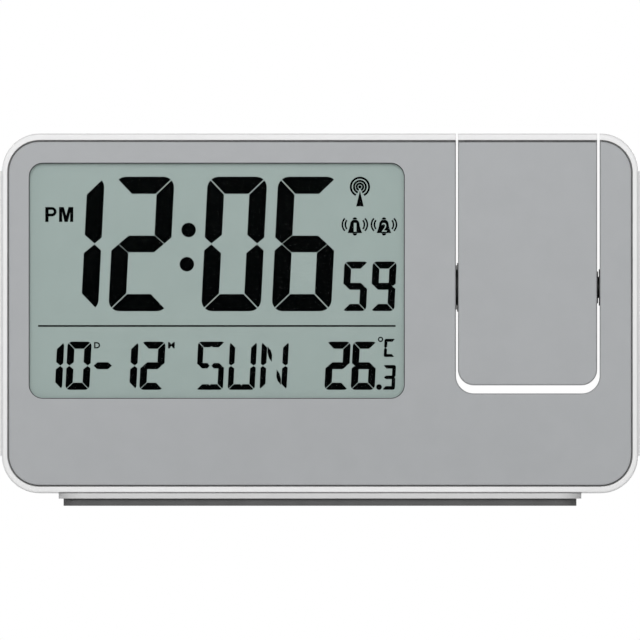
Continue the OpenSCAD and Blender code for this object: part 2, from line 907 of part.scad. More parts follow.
module dc_jack() {
    color("black") difference() {
        union() {
            block(
                [jack_cx - jack_w / 2, jack_end, jack_cz - jack_h / 2],
                [jack_cx + jack_w / 2, cover_y, jack_cz + jack_h / 2]
            );
            rod_y([jack_cx, jack_cz], cover_y, back_y - 0.3, jack_bore_r + jack_wall);
        }
        rod_y([jack_cx, jack_cz], jack_end + jack_end_wall, back_y + 1, jack_bore_r);
    }
}

module jack_pin() {
    color("silver") rod_y([jack_cx, jack_cz], jack_end + jack_end_wall, cover_y - 0.5, jack_pin_r);
}

lead_r = 0.8;
lead_y = (panel_y1 + bay_y0 - bay_wall) / 2;
lead_x = window_x1 - 1;
lead_z = board_z0 + 2;
thin_lead_r = min(0.65, pivot_y - board_y1);

// The lead runs from the jack's end, along in front of the battery bay, to the main board's front face
module power_lead() {
    color("firebrick") {
        rod_y([jack_cx, jack_cz], lead_y, jack_end, lead_r);
        translate([jack_cx, lead_y, jack_cz]) sphere(lead_r);
        rod_x(lead_x, jack_cx, lead_y, jack_cz, lead_r);
        translate([lead_x, lead_y, jack_cz]) sphere(lead_r);
        translate([lead_x, lead_y, jack_cz]) cylinder(h = lead_z - jack_cz, r = lead_r);
        translate([lead_x, lead_y, lead_z]) sphere(lead_r);
        rod_y([lead_x, lead_z], lead_y, board_y0, lead_r);
    }
}

// The projector's lead lies on the pivot axis, so the arm turns round it
module projector_lead() {
    x0 = board_x1 - 4;
    color("dimgray") {
        rod_x(x0, connector_x0 - 0.3, pivot_y, pivot_z, thin_lead_r);
        translate([x0, pivot_y, pivot_z]) sphere(thin_lead_r);
    }
}

// Pivot bushes in the housing

module left_bush() {
    sleeve_r = left_shaft_r + running + bush_wall;
    color("black") difference() {
        union() {
            rod_x(notch_x0, notch_x0 + flange_t, pivot_y, pivot_z, left_bush_r);
            rod_x(left_bush_in, notch_x0, pivot_y, pivot_z, sleeve_r);
        }
        rod_x(left_bush_in - 1, notch_x0 + 1, pivot_y, pivot_z, left_shaft_r + running);
    }
}

module right_bush() {
    sleeve_r = right_shaft_r + running + bush_wall;
    color("black") difference() {
        union() {
            rod_x(notch_x1 - flange_t, notch_x1, pivot_y, pivot_z, right_bush_r);
            rod_x(notch_x1, right_bush_in, pivot_y, pivot_z, sleeve_r);
        }
        rod_x(notch_x1 - 1, right_bush_in + 1, pivot_y, pivot_z, right_shaft_r + running);
    }
}

// Foot

module foot_outline(inset = 0) {
    translate([0, 0]) rounded(
        -foot_w / 2 + inset, foot_w / 2 - inset, -foot_d / 2 + inset, foot_d / 2 - inset,
        foot_r - inset
    );
}

module foot_plate() {
    color("gainsboro") difference() {
        translate([0, 0, pad_t]) linear_extrude(height = foot_t) foot_outline();
        for (x = foot_screw_x)
            translate([x, foot_boss_y, 0]) cylinder(h = foot_top + 1, r = foot_shank_r + 0.2);
    }
}

module foot_pad() {
    color("dimgray") difference() {
        linear_extrude(height = pad_t) foot_outline(pad_inset);
        for (x = foot_screw_x) translate([x, foot_boss_y, -1]) cylinder(h = pad_t + 2, r = head_r + 0.5);
    }
}

module foot_screws() {
    color("silver") for (x = foot_screw_x) translate([x, foot_boss_y, 0]) {
        difference() {
            translate([0, 0, pad_t - foot_head_t]) cylinder(h = foot_head_t, r = head_r);
            for (arm = cross_arms(head_r))
                block([-arm[0], -arm[1], 0], [arm[0], arm[1], pad_t - foot_head_t + cross_depth]);
        }
        translate([0, 0, pad_t]) cylinder(h = foot_t + foot_boss_h - 2, r = foot_shank_r - 0.1);
    }
}

// Projector arm

arm_boss_x = 11.5;
arm_screw_spots = [
    for (x = [arm_cx - arm_boss_x, arm_cx + arm_boss_x], z = [arm_z0 + 7.6, body_z1 - 10]) [x, z]
];
arm_boss_r = 2.2;

module arm_front_panel() {
    color("darkgray") difference() {
        union() {
            slab(panel_y0, panel_y1) arm_outline();
            for (spot = arm_screw_spots) rod_y(spot, panel_y1, arm_seam_y, arm_boss_r);
        }
        for (spot = arm_screw_spots) rod_y(spot, panel_y1, arm_seam_y + 1, screw_r);
    }
}

module arm_shell() {
    color("whitesmoke") difference() {
        union() {
            slab(panel_y1, arm_seam_y) difference() {
                arm_outline();
                translate([0, 1]) arm_outline(arm_wall);
                arm_outline(arm_wall);
            }
            intersection() {
                block([arm_x0, front_y, arm_top_z + panel_gap], [arm_x1, back_y, body_z1]);
                arm_envelope();
            }
            block([arm_x0, panel_y1, arm_top_z], [arm_x1, arm_seam_y, arm_top_z + panel_gap + 0.1]);
        }
        rod_z(arm_top_z - 3, body_z1 + 1, ring_r + 0.25);
        rod_z(arm_top_z - 3, arm_top_z + panel_gap, ring_lip_r + 0.3);
        rod_x(arm_x0 - 1, arm_x0 + arm_wall + 1, pivot_y, pivot_z, left_shaft_r + bush_wall);
        rod_x(arm_x1 - arm_wall - 1, arm_x1 + 1, pivot_y, pivot_z, right_shaft_r + bush_wall);
    }
}

module arm_rear_cover() {
    color("whitesmoke") difference() {
        union() {
            difference() {
                intersection() {
                    arm_rear_form(0);
                    arm_envelope();
                }
                arm_rear_form(arm_wall);
            }
            for (spot = arm_screw_spots) intersection() {
                rod_y(spot, arm_seam_y, back_y, arm_boss_r + 1);
                arm_rear_form(0);
            }
        }
        for (spot = arm_screw_spots) {
            rod_y(spot, arm_seam_y - 1, back_y, screw_r + 0.2);
            rod_y(spot, back_y - 2.4, back_y + 1, 2.2);
        }
    }
}

// The rear half of the arm, with its heel rounded; an inset makes its hollow
module arm_rear_form(inset) {
    intersection() {
        slab(arm_seam_y - (inset > 0 ? 0.5 : 0), back_y - inset) arm_outline(inset);
        span(arm_x0, arm_x1) heel_outline(inset);
    }
}

module arm_screws() {
    color("silver") for (spot = arm_screw_spots)
        screw(spot, back_y - 2.4, back_y - 2.4 - arm_seam_y + 6, 1.9, 1, screw_r - 0.1);
}

// The left hub is hollow for the lead
module left_hub() {
    color("black") difference() {
        union() {
            rod_x(arm_x0 - flange_t, arm_x0, pivot_y, pivot_z, left_flange_r);
            rod_x(arm_x0, arm_x0 + hub_len, pivot_y, pivot_z, left_shaft_r + bush_wall);
            rod_x(left_bush_in - clip_gap - clip_t - 0.4, arm_x0, pivot_y, pivot_z, left_shaft_r);
        }
        rod_x(left_bush_in - 5, arm_x0 + hub_len + 1, pivot_y, pivot_z, hub_bore_r);
    }
}

module right_hub() {
    color("black") {
        rod_x(arm_x1, arm_x1 + flange_t, pivot_y, pivot_z, right_flange_r);
        rod_x(arm_x1 - hub_len, arm_x1, pivot_y, pivot_z, right_shaft_r + bush_wall);
        rod_x(arm_x1, right_bush_in + clip_gap + clip_t + 0.4, pivot_y, pivot_z, right_shaft_r);
    }
}

// Clips on the hubs' ends that hold them in the bushes
module hub_clips() {
    color("silver") {
        clip(left_bush_in - clip_gap - clip_t, left_shaft_r);
        clip(right_bush_in + clip_gap, right_shaft_r);
    }
}

module clip(x, r) {
    difference() {
        rod_x(x, x + clip_t, pivot_y, pivot_z, r + clip_wall);
        rod_x(x - 1, x + clip_t + 1, pivot_y, pivot_z, r);
    }
}

flange_z = barrel_z1 - 13;

module lens_barrel() {
    color("black") difference() {
        union() {
            rod_z(barrel_z0, barrel_z1, barrel_r);
            block(
                [arm_x0 + arm_wall, panel_y1 + 0.1, flange_z],
                [arm_x1 - arm_wall, arm_seam_y + 1, flange_z + 1.2]
            );
        }
        rod_z(barrel_z0 - 1, barrel_z1 + 1, barrel_bore_r);
    }
}

module condenser_lens() {
    color("lightcyan", 0.5) intersection() {
        rod_z(condenser_z, condenser_z + condenser_t, barrel_bore_r);
        translate([arm_cx, pivot_y, condenser_z + condenser_t - condenser_dome_r]) sphere(condenser_dome_r);
    }
}

module projection_lcd() {
    half = barrel_bore_r * 0.69;
    z = condenser_z + condenser_t + 0.4;
    color("darkslateblue") block(
        [arm_cx - half, pivot_y - half, z], [arm_cx + half, pivot_y + half, z + 1.4]
    );
}

module projection_led() {
    color("tomato") {
        rod_z(led_board_z1, led_board_z1 + led_body_h, led_r);
        translate([arm_cx, pivot_y, led_board_z1 + led_body_h]) sphere(led_r - 0.02);
    }
}

module led_board() {
    color("seagreen") block(
        [arm_x0 + arm_wall, panel_y1 + 0.5, led_board_z1 - board_t],
        [arm_x1 - arm_wall, arm_seam_y + 2, led_board_z1]
    );
}

// The lead's socket stands on the LED board, on the pivot axis
module lead_connector() {
    color("white") block(
        [connector_x0, pivot_y - 2, led_board_z1], [connector_x0 + 3, pivot_y + 2, pivot_z + 1.6]
    );
}

module focus_ring() {
    z1 = body_z1 - ring_sunk;
    lip_z1 = arm_top_z + panel_gap - 0.1;
    dimples = 3;
    color("black") difference() {
        union() {
            rod_z(z1 - ring_h, z1, ring_r);
            rod_z(z1 - ring_h, lip_z1, ring_lip_r);
        }
        rod_z(z1 - ring_h - 1, z1 + 1, ring_bore_r);
        for (i = [0:dimples - 1])
            translate([arm_cx, pivot_y, z1]) rotate([0, 0, i * 360 / dimples])
                translate([(ring_r + ring_bore_r) / 2, 0, 0]) sphere(0.5, $fn = 32);
    }
}

module lens_cell() {
    color("dimgray") difference() {
        rod_z(lens_cell_z1 - lens_cell_h, lens_cell_z1, cell_tube_r);
        rod_z(lens_cell_z1 - lens_cell_h - 1, lens_cell_z1 + 1, lens_r);
    }
}

module projection_lens() {
    z1 = lens_cell_z1 - lens_sunk;
    color("lightcyan", 0.5) intersection() {
        rod_z(z1 - lens_t, z1, lens_r);
        translate([arm_cx, pivot_y, z1 - lens_dome_r]) sphere(lens_dome_r);
    }
}

// Keys, knob and door

module snooze_bar() {
    color("whitesmoke") {
        block([snooze_x0, snooze_y0, snooze_flange_z0], [snooze_x0 + snooze_w, snooze_y1, body_z1]);
        block(
            [snooze_x0 - snooze_lip, snooze_y0 - snooze_lip, snooze_flange_z0],
            [snooze_x0 + snooze_w + snooze_lip, snooze_y1 + snooze_lip, snooze_flange_z1]
        );
    }
}

module rear_key(index) {
    color("silver") {
        rod_y(keys[index], key_y0, back_y + key_out, key_r);
        rod_y(keys[index], cover_y - 0.05 - key_flange_t, cover_y - 0.05, key_r + key_flange);
    }
}

module key_mode() rear_key(0);
module key_plus() rear_key(1);
module key_minus() rear_key(2);
module key_alarm_1() rear_key(3);
module key_alarm_2() rear_key(4);
module key_receive() rear_key(5);

module switch_knob() {
    y0 = key_board_y1 + 1.6 + 0.1;
    color("black") {
        block([switch_cx - 1.5, y0, key_cz - 1.5], [switch_cx + 1.5, back_y + 0.8, key_cz + 1.5]);
        block(
            [switch_cx - 2.5, cover_y - 0.9, key_cz - 2.6],
            [switch_cx + 2.5, cover_y - 0.1, key_cz + 2.6]
        );
    }
}

module battery_door() {
    grip_h = 3;
    cx = (bay_x0 + bay_x1) / 2;
    color("whitesmoke") difference() {
        union() {
            block([bay_x0 + door_gap, cover_y, hinge_z], [bay_x1 - door_gap, back_y, door_z1]);
            rod_x(bay_x0 + door_gap, bay_x1 - door_gap, hinge_y, hinge_z, bead_r);
            rod_x(bay_x0 + door_gap - hinge_pin_len, bay_x1 - door_gap + hinge_pin_len,
                hinge_y, hinge_z, hinge_pin_r);
            for (i = [0:2]) block(
                [cx - 6, back_y - 0.2, door_z1 - 1.4 - i * 1.4],
                [cx + 6, back_y + 0.4, door_z1 - 0.8 - i * 1.4]
            );
        }
    }
}

housing_shell();
front_panel();
display_window();
lcd_panel();
lcd_frame();
light_guide();
backlight_leds();
zebra_strip();
main_board();
board_screws();
clock_chip();
quartz_crystal();
ferrite_rod();
antenna_coil();
buzzer();
rear_cover();
rear_screws();
key_board();
key_switches();
slide_switch();
snooze_switch();
ribbon_cable();
battery_cells();
battery_spring();
battery_contact();
dc_jack();
jack_pin();
power_lead();
projector_lead();
left_bush();
right_bush();
foot_plate();
foot_pad();
foot_screws();
arm_front_panel();
arm_shell();
arm_rear_cover();
arm_screws();
left_hub();
right_hub();
hub_clips();
lens_barrel();
condenser_lens();
projection_lcd();
projection_led();
led_board();
lead_connector();
focus_ring();
lens_cell();
projection_lens();
snooze_bar();
key_mode();
key_plus();
key_minus();
key_alarm_1();
key_alarm_2();
key_receive();
switch_knob();
battery_door();
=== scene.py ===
"""Looks of a projection alarm clock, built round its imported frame."""

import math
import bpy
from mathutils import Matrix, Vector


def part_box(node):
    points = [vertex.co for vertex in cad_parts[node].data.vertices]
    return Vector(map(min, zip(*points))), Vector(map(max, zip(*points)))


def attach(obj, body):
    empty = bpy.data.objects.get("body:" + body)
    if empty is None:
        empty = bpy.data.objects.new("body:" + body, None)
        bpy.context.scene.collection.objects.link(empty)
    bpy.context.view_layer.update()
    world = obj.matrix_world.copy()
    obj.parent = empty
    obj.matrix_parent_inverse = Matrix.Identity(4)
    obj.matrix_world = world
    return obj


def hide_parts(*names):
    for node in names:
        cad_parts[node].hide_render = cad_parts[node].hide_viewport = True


bl_info = {
    "name": "Projection Alarm Clock Looks",
    "version": (1, 0, 0),
    "blender": (4, 5, 0),
    "location": "3D View > Sidebar > Clock",
    "description": "Finishes the pieces of a projection alarm clock and sets its LCD",
    "category": "Object",
}

import bmesh
import bpy
from mathutils import Vector
from mathutils.geometry import tessellate_polygon

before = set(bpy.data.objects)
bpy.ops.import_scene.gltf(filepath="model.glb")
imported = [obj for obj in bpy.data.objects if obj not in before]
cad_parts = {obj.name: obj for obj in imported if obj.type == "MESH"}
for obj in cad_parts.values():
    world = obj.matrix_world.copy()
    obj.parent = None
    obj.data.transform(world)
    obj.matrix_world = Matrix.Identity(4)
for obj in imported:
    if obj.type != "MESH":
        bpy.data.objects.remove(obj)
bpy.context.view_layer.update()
MM = 0.001

# The photograph's frame: its width in pixels, the object's real width that fills it, and the floor's row
PHOTO_PX = 640
PHOTO_WIDTH = 150 * MM
PHOTO_FLOOR_PX = 505.8

# The stage: sizes in metres, and a lamp's name, place and watts
CAMERA_DISTANCE = 0.6
CAMERA_CLIP = (0.01, 10)
FLOOR_RADIUS = 4.0
FLOOR_SIDES = 96
FLOOR_PAINT = "#DADADA"
FLOOR_GLOW = 0.45
WORLD_STRENGTH = 0.14
LAMP_AIM = (0, 0, 0.045)
LAMP_SIZE = 0.9
LAMPS = [
    ("key_softbox", (-0.2, -1.3, 0.5), 12.0),
    ("fill_softbox", (0.35, -1.35, 0.2), 4.4),
    ("rear_left_softbox", (-0.8, 1.15, 0.5), 10.0),
    ("rear_right_softbox", (0.8, 1.15, 0.5), 10.0),
]

# Vertices nearer than this, seen from the front, belong to the same screw
SCREW_REACH = 6 * MM
# Points of built-in letters nearer than this are welded
LETTER_WELD = 0.002 * MM
# The least divisor of a mitre, which keeps the points of sharp corners from running far out
MITRE_LIMIT = 0.5


# Sizes that a user would change


class ClockLcd(bpy.types.PropertyGroup):
    """Sizes of the LCD's digits, from the photograph's scale"""

    lean: bpy.props.FloatProperty(
        name="Lean", description="How far a digit leans to the right for each unit of height", default=0.05
    )
    hour_height: bpy.props.FloatProperty(
        name="Hour digit height", description="Height of the hour and minute digits",
        default=31.4 * MM, unit="LENGTH",
    )
    hour_width: bpy.props.FloatProperty(
        name="Hour digit width", description="Width of the hour and minute digits",
        default=13.83 * MM, unit="LENGTH",
    )
    hour_stroke: bpy.props.FloatProperty(
        name="Hour digit stroke", description="Stroke of the hour and minute digits",
        default=3.89 * MM, unit="LENGTH",
    )
    small_height: bpy.props.FloatProperty(
        name="Small digit height", description="Height of the date and temperature digits",
        default=11.18 * MM, unit="LENGTH",
    )
    small_width: bpy.props.FloatProperty(
        name="Small digit width", description="Width of the date and temperature digits",
        default=5.52 * MM, unit="LENGTH",
    )
    small_stroke: bpy.props.FloatProperty(
        name="Small digit stroke", description="Stroke of the small digits",
        default=1.55 * MM, unit="LENGTH",
    )
    ink_height: bpy.props.FloatProperty(
        name="Segment height", description="How far a segment stands on the glass",
        default=0.03 * MM, unit="LENGTH",
    )
    ink_spread: bpy.props.FloatProperty(
        name="Segment spread", description="How far the crystal goes dark past a segment's edge",
        default=0.06 * MM, unit="LENGTH",
    )


class ClockEdges(bpy.types.PropertyGroup):
    """Rounding of the moulded edges"""

    shell: bpy.props.FloatProperty(
        name="Shell edge", description="Rounding of the white shell's edges", default=0.35 * MM,
        unit="LENGTH",
    )
    face: bpy.props.FloatProperty(
        name="Face edge", description="Width of the grey face's rounded edge along the rim",
        default=0.16 * MM, unit="LENGTH",
    )
    notch: bpy.props.FloatProperty(
        name="Notch edge", description="Width of the rounded edges along the notch and the arm",
        default=0.34 * MM, unit="LENGTH",
    )
    steepness: bpy.props.FloatProperty(
        name="Steepness", description="How much deeper than wide the rounded edges are", default=2.4,
        min=1.0, max=5.0,
    )
    window: bpy.props.FloatProperty(
        name="Window edge", description="Rounding of the grey face's edge round the display",
        default=0.05 * MM, unit="LENGTH",
    )
    small: bpy.props.FloatProperty(
        name="Small edge", description="Rounding of keys, feet and fittings", default=0.2 * MM, unit="LENGTH"
    )


class ClockFace(bpy.types.PropertyGroup):
    """Sizes of the grey faces, as the frame's solids have them"""

    thick: bpy.props.FloatProperty(
        name="Thickness", description="Thickness of the grey faces", default=1.0 * MM, unit="LENGTH"
    )
    corner: bpy.props.FloatProperty(
        name="Corner", description="Radius of the grey face's corners", default=7.25 * MM, unit="LENGTH"
    )
    window_corner: bpy.props.FloatProperty(
        name="Window corner", description="Radius of the display cut-out's corners", default=3.3 * MM,
        unit="LENGTH",
    )
    window_lap: bpy.props.FloatProperty(
        name="Window lap", description="How far the clear window reaches past its cut-out",
        default=1.2 * MM, unit="LENGTH",
    )
    # Painted shade: the dark line round the window stands for the seam there and for the shade at the
    # display cut-out's edge
    window_shade_line: bpy.props.FloatProperty(
        name="Window line", description="Width of the dark line printed round the window", default=0.17 * MM,
        unit="LENGTH",
    )
    # Thickness of the painted shade line round the window
    shade_line_height: bpy.props.FloatProperty(
        name="Print height", description="Thickness of the printed line", default=0.02 * MM, unit="LENGTH"
    )
    notch_corner: bpy.props.FloatProperty(
        name="Notch corner", description="Radius of the notch's corners", default=4.2 * MM, unit="LENGTH"
    )
    arm_corner: bpy.props.FloatProperty(
        name="Arm corner", description="Radius of the arm's lower corners", default=3.7 * MM, unit="LENGTH"
    )
    gap_left: bpy.props.FloatProperty(
        name="Left gap", description="Gap at the arm's left", default=0.5 * MM, unit="LENGTH"
    )
    gap_right: bpy.props.FloatProperty(
        name="Right gap", description="Gap at the arm's right", default=0.6 * MM, unit="LENGTH"
    )
    gap_under: bpy.props.FloatProperty(
        name="Lower gap", description="Gap under the arm", default=1.9 * MM, unit="LENGTH"
    )
    boss: bpy.props.FloatProperty(
        name="Boss radius", description="Radius of the screw bosses behind the faces", default=2.0 * MM,
        unit="LENGTH",
    )
    bore: bpy.props.FloatProperty(
        name="Boss bore", description="Radius of the holes in the screw bosses", default=0.9 * MM,
        unit="LENGTH",
    )


def linear(hex_colour):
    """The linear colour of an sRGB hex value."""
    parts = [int(hex_colour[i : i + 2], 16) / 255 for i in (1, 3, 5)]
    return [c / 12.92 if c <= 0.04045 else ((c + 0.055) / 1.055) ** 2.4 for c in parts] + [1.0]


WHITE = linear("#FFFFFF")


def add(tree, kind, inputs=None, **settings):
    """Adds a node, sets its properties, and gives its inputs values or links."""
    made = tree.nodes.new(kind)
    for key, value in settings.items():
        setattr(made, key, value)
    for key, value in (inputs or {}).items():
        if isinstance(value, bpy.types.NodeSocket):
            tree.links.new(value, made.inputs[key])
        else:
            made.inputs[key].default_value = value
    return made


def blank_material(name):
    """A material with an empty node tree and its output node."""
    material = bpy.data.materials.new(name)
    material.use_nodes = True
    material.node_tree.nodes.clear()
    return material, material.node_tree, add(material.node_tree, "ShaderNodeOutputMaterial")


def solid_material(
    name, dark, light, roughness, ior=1.5, metallic=0.0, specular=0.5, grain=0.2, relief=0.004, patch=6.0,
    edge=0.0, painted_shade_reach=0.0,
):
    """An opaque surface: two near shades that drift over patches, and a grain that its maker's tool leaves.

    grain, relief and patch are real sizes in millimetres: the grain's width and height, and a patch's width.
    edge is the radius, in metres, that a moulded corner has. painted_shade_reach is how near, in
    millimetres, another wall stands for the colour between them to be darkened by an ambient occlusion node:
    painted shade in gaps and crevices.
    """
    _, tree, out = blank_material(name)
    place = add(tree, "ShaderNodeTexCoord").outputs["Object"]
    drift = add(tree, "ShaderNodeTexNoise", {"Vector": place, "Scale": 1 / (patch * MM), "Detail": 3.0})
    shade = add(tree, "ShaderNodeValToRGB", {"Fac": drift.outputs["Fac"]})
    for stop, position, colour in zip(shade.color_ramp.elements, (0.35, 0.65), (dark, light)):
        stop.position = position
        stop.color = linear(colour)
    colour = shade.outputs["Color"]
    # Painted shade: an ambient occlusion node darkens the colour where another wall stands near, as shade in
    # gaps and crevices
    if painted_shade_reach:
        colour = add(
            tree, "ShaderNodeAmbientOcclusion", {"Color": colour, "Distance": painted_shade_reach * MM}, samples=6
        ).outputs["Color"]
    fine = add(tree, "ShaderNodeTexNoise", {"Vector": place, "Scale": 1 / (grain * MM), "Detail": 2.0})
    relief_inputs = {"Height": fine.outputs["Fac"], "Strength": 1.0, "Distance": relief * MM}
    if edge:
        relief_inputs["Normal"] = add(tree, "ShaderNodeBevel", {"Radius": edge}, samples=8).outputs["Normal"]
    bump = add(tree, "ShaderNodeBump", relief_inputs)
    surface = add(
        tree,
        "ShaderNodeBsdfPrincipled",
        {
            "Base Color": colour,
            "Roughness": roughness,
            "Specular IOR Level": specular,
            "Normal": bump.outputs["Normal"],
        },
    )
    if metallic:
        surface.inputs["Metallic"].default_value = metallic
    else:
        surface.inputs["IOR"].default_value = ior
    tree.links.new(surface.outputs["BSDF"], out.inputs["Surface"])


def clear_material(name, tint, alpha, roughness, gloss=0.5, ior=1.49, wave=9.0, relief=0.01):
    """A thin clear plastic: mostly see-through, with a faint gloss. wave and relief are in millimetres."""
    _, tree, out = blank_material(name)
    place = add(tree, "ShaderNodeTexCoord").outputs["Object"]
    ripple = add(tree, "ShaderNodeTexNoise", {"Vector": place, "Scale": 1 / (wave * MM), "Detail": 1.0})
    ripple_relief = {"Height": ripple.outputs["Fac"], "Strength": 0.3, "Distance": relief * MM}
    bump = add(tree, "ShaderNodeBump", ripple_relief)
    surface = add(
        tree,
        "ShaderNodeBsdfPrincipled",
        {
            "Base Color": linear(tint),
            "Roughness": roughness,
            "IOR": ior,
            "Specular IOR Level": gloss,
            "Alpha": alpha,
            "Normal": bump.outputs["Normal"],
        },
    )
    tree.links.new(surface.outputs["BSDF"], out.inputs["Surface"])


def make_materials(edges):
    """Every finish of the clock."""
    # ABS moulded in a polished tool: near white, satin, with a very faint orange peel, and painted shade in
    # its gaps and crevices
    solid_material("moulded_abs_white", "#E6E6E6", "#E8E8E8", 0.45, ior=1.53, specular=0.25, grain=0.3,
                   relief=0.001, patch=12.0, edge=edges.shell, painted_shade_reach=0.4)
    # Silver-grey paint sprayed on ABS: flat mid grey with a fine dry grain, and painted shade in its gaps
    # and crevices
    solid_material("sprayed_abs_grey", "#A5A7A9", "#A7A9AB", 0.6, specular=0.3, grain=0.2,
                   relief=0.0015, painted_shade_reach=0.8)
    # The LCD's rear polariser and reflector film: grey-green, matt, with a soft mottle
    solid_material("lcd_reflector_film", "#9FAEAA", "#A1B0AC", 0.7, ior=1.45, specular=0.2, grain=0.25,
                   relief=0.001)
    # Liquid crystal switched on between polarisers: a flat black
    solid_material("lcd_dark_segment", "#000101", "#010202", 0.6, ior=1.4, specular=0.0, grain=0.3,
                   relief=0.0005)
    # Light ABS moulding of the foot, matt, with painted shade in its crevices
    solid_material("moulded_abs_light", "#CECECE", "#D0D0D0", 0.5, ior=1.53, specular=0.3, grain=0.3,
                   relief=0.003, edge=edges.small, painted_shade_reach=0.4)
    # Nitrile rubber sheet, dark grey, dusty matt
    solid_material("rubber_sheet", "#545454", "#5A5A5A", 0.85, ior=1.52, grain=0.35, relief=0.02,
                   edge=edges.small)
    # Acetal (POM), turned or moulded: black with a slight waxy gloss
    solid_material("moulded_acetal_black", "#101010", "#151515", 0.38, ior=1.48, grain=0.5, relief=0.004,
                   edge=edges.small)
    # Black ABS of frames and sockets, spark-eroded texture
    solid_material("textured_abs_black", "#161616", "#1C1C1C", 0.6, ior=1.53, grain=0.3, relief=0.012,
                   edge=edges.small)
    # Grey ABS of the keys, fine texture
    solid_material("textured_abs_grey", "#8E9092", "#949698", 0.5, ior=1.53, grain=0.3, relief=0.008,
                   edge=edges.small)
    # Zinc-plated steel screws and contacts
    solid_material("zinc_plated_steel", "#B4B6B9", "#C2C4C7", 0.34, metallic=1.0, grain=0.2, relief=0.003,
                   edge=0.5 * edges.small)
    # Brass sheet of the sounder
    solid_material("brass_sheet", "#B8964A", "#C4A256", 0.38, metallic=1.0, grain=0.3, relief=0.004)
    # Enamelled copper winding
    solid_material("enamelled_copper", "#A85A2C", "#B8683A", 0.35, metallic=1.0, grain=0.12, relief=0.02)
    # Sintered ferrite: near black, stony
    solid_material("sintered_ferrite", "#26272A", "#303236", 0.6, ior=2.0, grain=0.3, relief=0.01)
    # Glass-fibre board with green solder mask
    solid_material("solder_mask_green", "#1E5A34", "#26683E", 0.35, ior=1.55, grain=1.2, relief=0.02)
    # Milky acrylic of the light guide and sockets
    solid_material("milky_acrylic", "#E4E6E4", "#ECEEEC", 0.4, ior=1.49, grain=0.6, relief=0.003)
    # Carbon-loaded silicone of the contact strip
    solid_material("contact_silicone", "#B98A92", "#C49AA0", 0.7, ior=1.41, grain=0.3, relief=0.01)
    # Shrink-wrapped jacket of a battery cell
    solid_material("shrink_wrap_blue", "#3E5F7E", "#456888", 0.28, grain=1.5, relief=0.01,
                   edge=edges.small)
    # PVC insulation of the leads
    solid_material("pvc_insulation", "#33343A", "#3C3D43", 0.5, ior=1.53, grain=0.4, relief=0.006)
    # Tinted epoxy of the projection LED
    solid_material("tinted_epoxy_red", "#B02A1E", "#C03A2A", 0.15, ior=1.55, grain=1.0, relief=0.002)
    # Pad-printed ink of the rear marks: dark grey, dull. The line round the window has it too, as the seam
    # there and painted shade of the cut-out's edge
    solid_material("pad_print_dark", "#2C2D2F", "#343537", 0.6, specular=0.3, relief=0.002)
    # Cast acrylic of the display window: clear, with a faint gloss
    clear_material("cast_acrylic", "#0C0E0E", 0.02, 0.08, 0.25)
    # Polished optical glass of the projector's lenses
    clear_material("polished_optical_glass", "#DCE8F0", 0.3, 0.02)


# The finish of each CAD node
NODE_FINISH = {
    "moulded_abs_white": [
        "housing_shell", "rear_cover", "arm_shell", "arm_rear_cover", "snooze_bar", "battery_door",
    ],
    "sprayed_abs_grey": ["front_panel", "arm_front_panel"],
    "lcd_reflector_film": ["lcd_panel", "projection_lcd"],
    "moulded_abs_light": ["foot_plate"],
    "rubber_sheet": ["foot_pad"],
    "moulded_acetal_black": [
        "left_hub", "right_hub", "left_bush", "right_bush", "focus_ring", "lens_cell", "switch_knob",
    ],
    "textured_abs_black": [
        "lcd_frame", "dc_jack", "lens_barrel", "clock_chip", "key_switches", "snooze_switch",
    ],
    "textured_abs_grey": [
        "key_mode", "key_plus", "key_minus", "key_alarm_1", "key_alarm_2", "key_receive",
    ],
    "zinc_plated_steel": [
        "board_screws", "rear_screws", "foot_screws", "arm_screws", "battery_spring", "battery_contact",
        "jack_pin", "quartz_crystal", "slide_switch", "hub_clips",
    ],
    "brass_sheet": ["buzzer"],
    "enamelled_copper": ["antenna_coil"],
    "sintered_ferrite": ["ferrite_rod"],
    "solder_mask_green": ["main_board", "key_board", "led_board"],
    "milky_acrylic": ["light_guide", "lead_connector", "backlight_leds"],
    "contact_silicone": ["zebra_strip"],
    "shrink_wrap_blue": ["battery_cells"],
    "pvc_insulation": ["power_lead", "projector_lead", "ribbon_cable"],
    "tinted_epoxy_red": ["projection_led"],
    "cast_acrylic": ["display_window"],
    "polished_optical_glass": ["projection_lens", "condenser_lens"],
}


class CLOCK_OT_finish_nodes(bpy.types.Operator):
    """Makes the finishes and gives every carried-over piece its own"""

    bl_idname = "clock.finish_nodes"
    bl_label = "Finish the Pieces"

    def execute(self, context):
        make_materials(context.scene.clock_edges)
        finished = set()
        for finish, pieces in NODE_FINISH.items():
            for name in pieces:
                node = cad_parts[name]
                node.data.materials.clear()
                node.data.materials.append(bpy.data.materials[finish])
                finished.add(name)
        left = sorted(set(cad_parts) - finished)
        if left:
            raise RuntimeError(f"no finish for {left}")
        return {"FINISHED"}


# Outlines, and the grey faces: plates whose front edges are rounded in the mesh


def arc(centre, radius, start, end, steps=12):
    """Points of an arc, with angles in degrees from the right towards the second axis."""
    angles = [math.radians(start + (end - start) * i / steps) for i in range(steps + 1)]
    return [(centre[0] + radius * math.cos(a), centre[1] + radius * math.sin(a)) for a in angles]


def circle(centre, radius, sides=32):
    """Points all the way round, each of them once."""
    return arc(centre, radius, 0, 360 - 360 / sides, sides - 1)


def corner_points(centre, radius, start, end, steps=16):
    """Points of an arc in X and Z, with angles in degrees anticlockwise seen from the front."""
    return [Vector(point) for point in arc(centre, radius, start, end, steps)]


def rounded_loop(x0, x1, z0, z1, radius):
    """A rounded rectangle, anticlockwise seen from the front."""
    left, right, low, high = x0 + radius, x1 - radius, z0 + radius, z1 - radius
    spots = [(right, low), (right, high), (left, high), (left, low)]
    return [
        point for i, spot in enumerate(spots) for point in corner_points(spot, radius, 90 * i - 90, 90 * i)
    ]


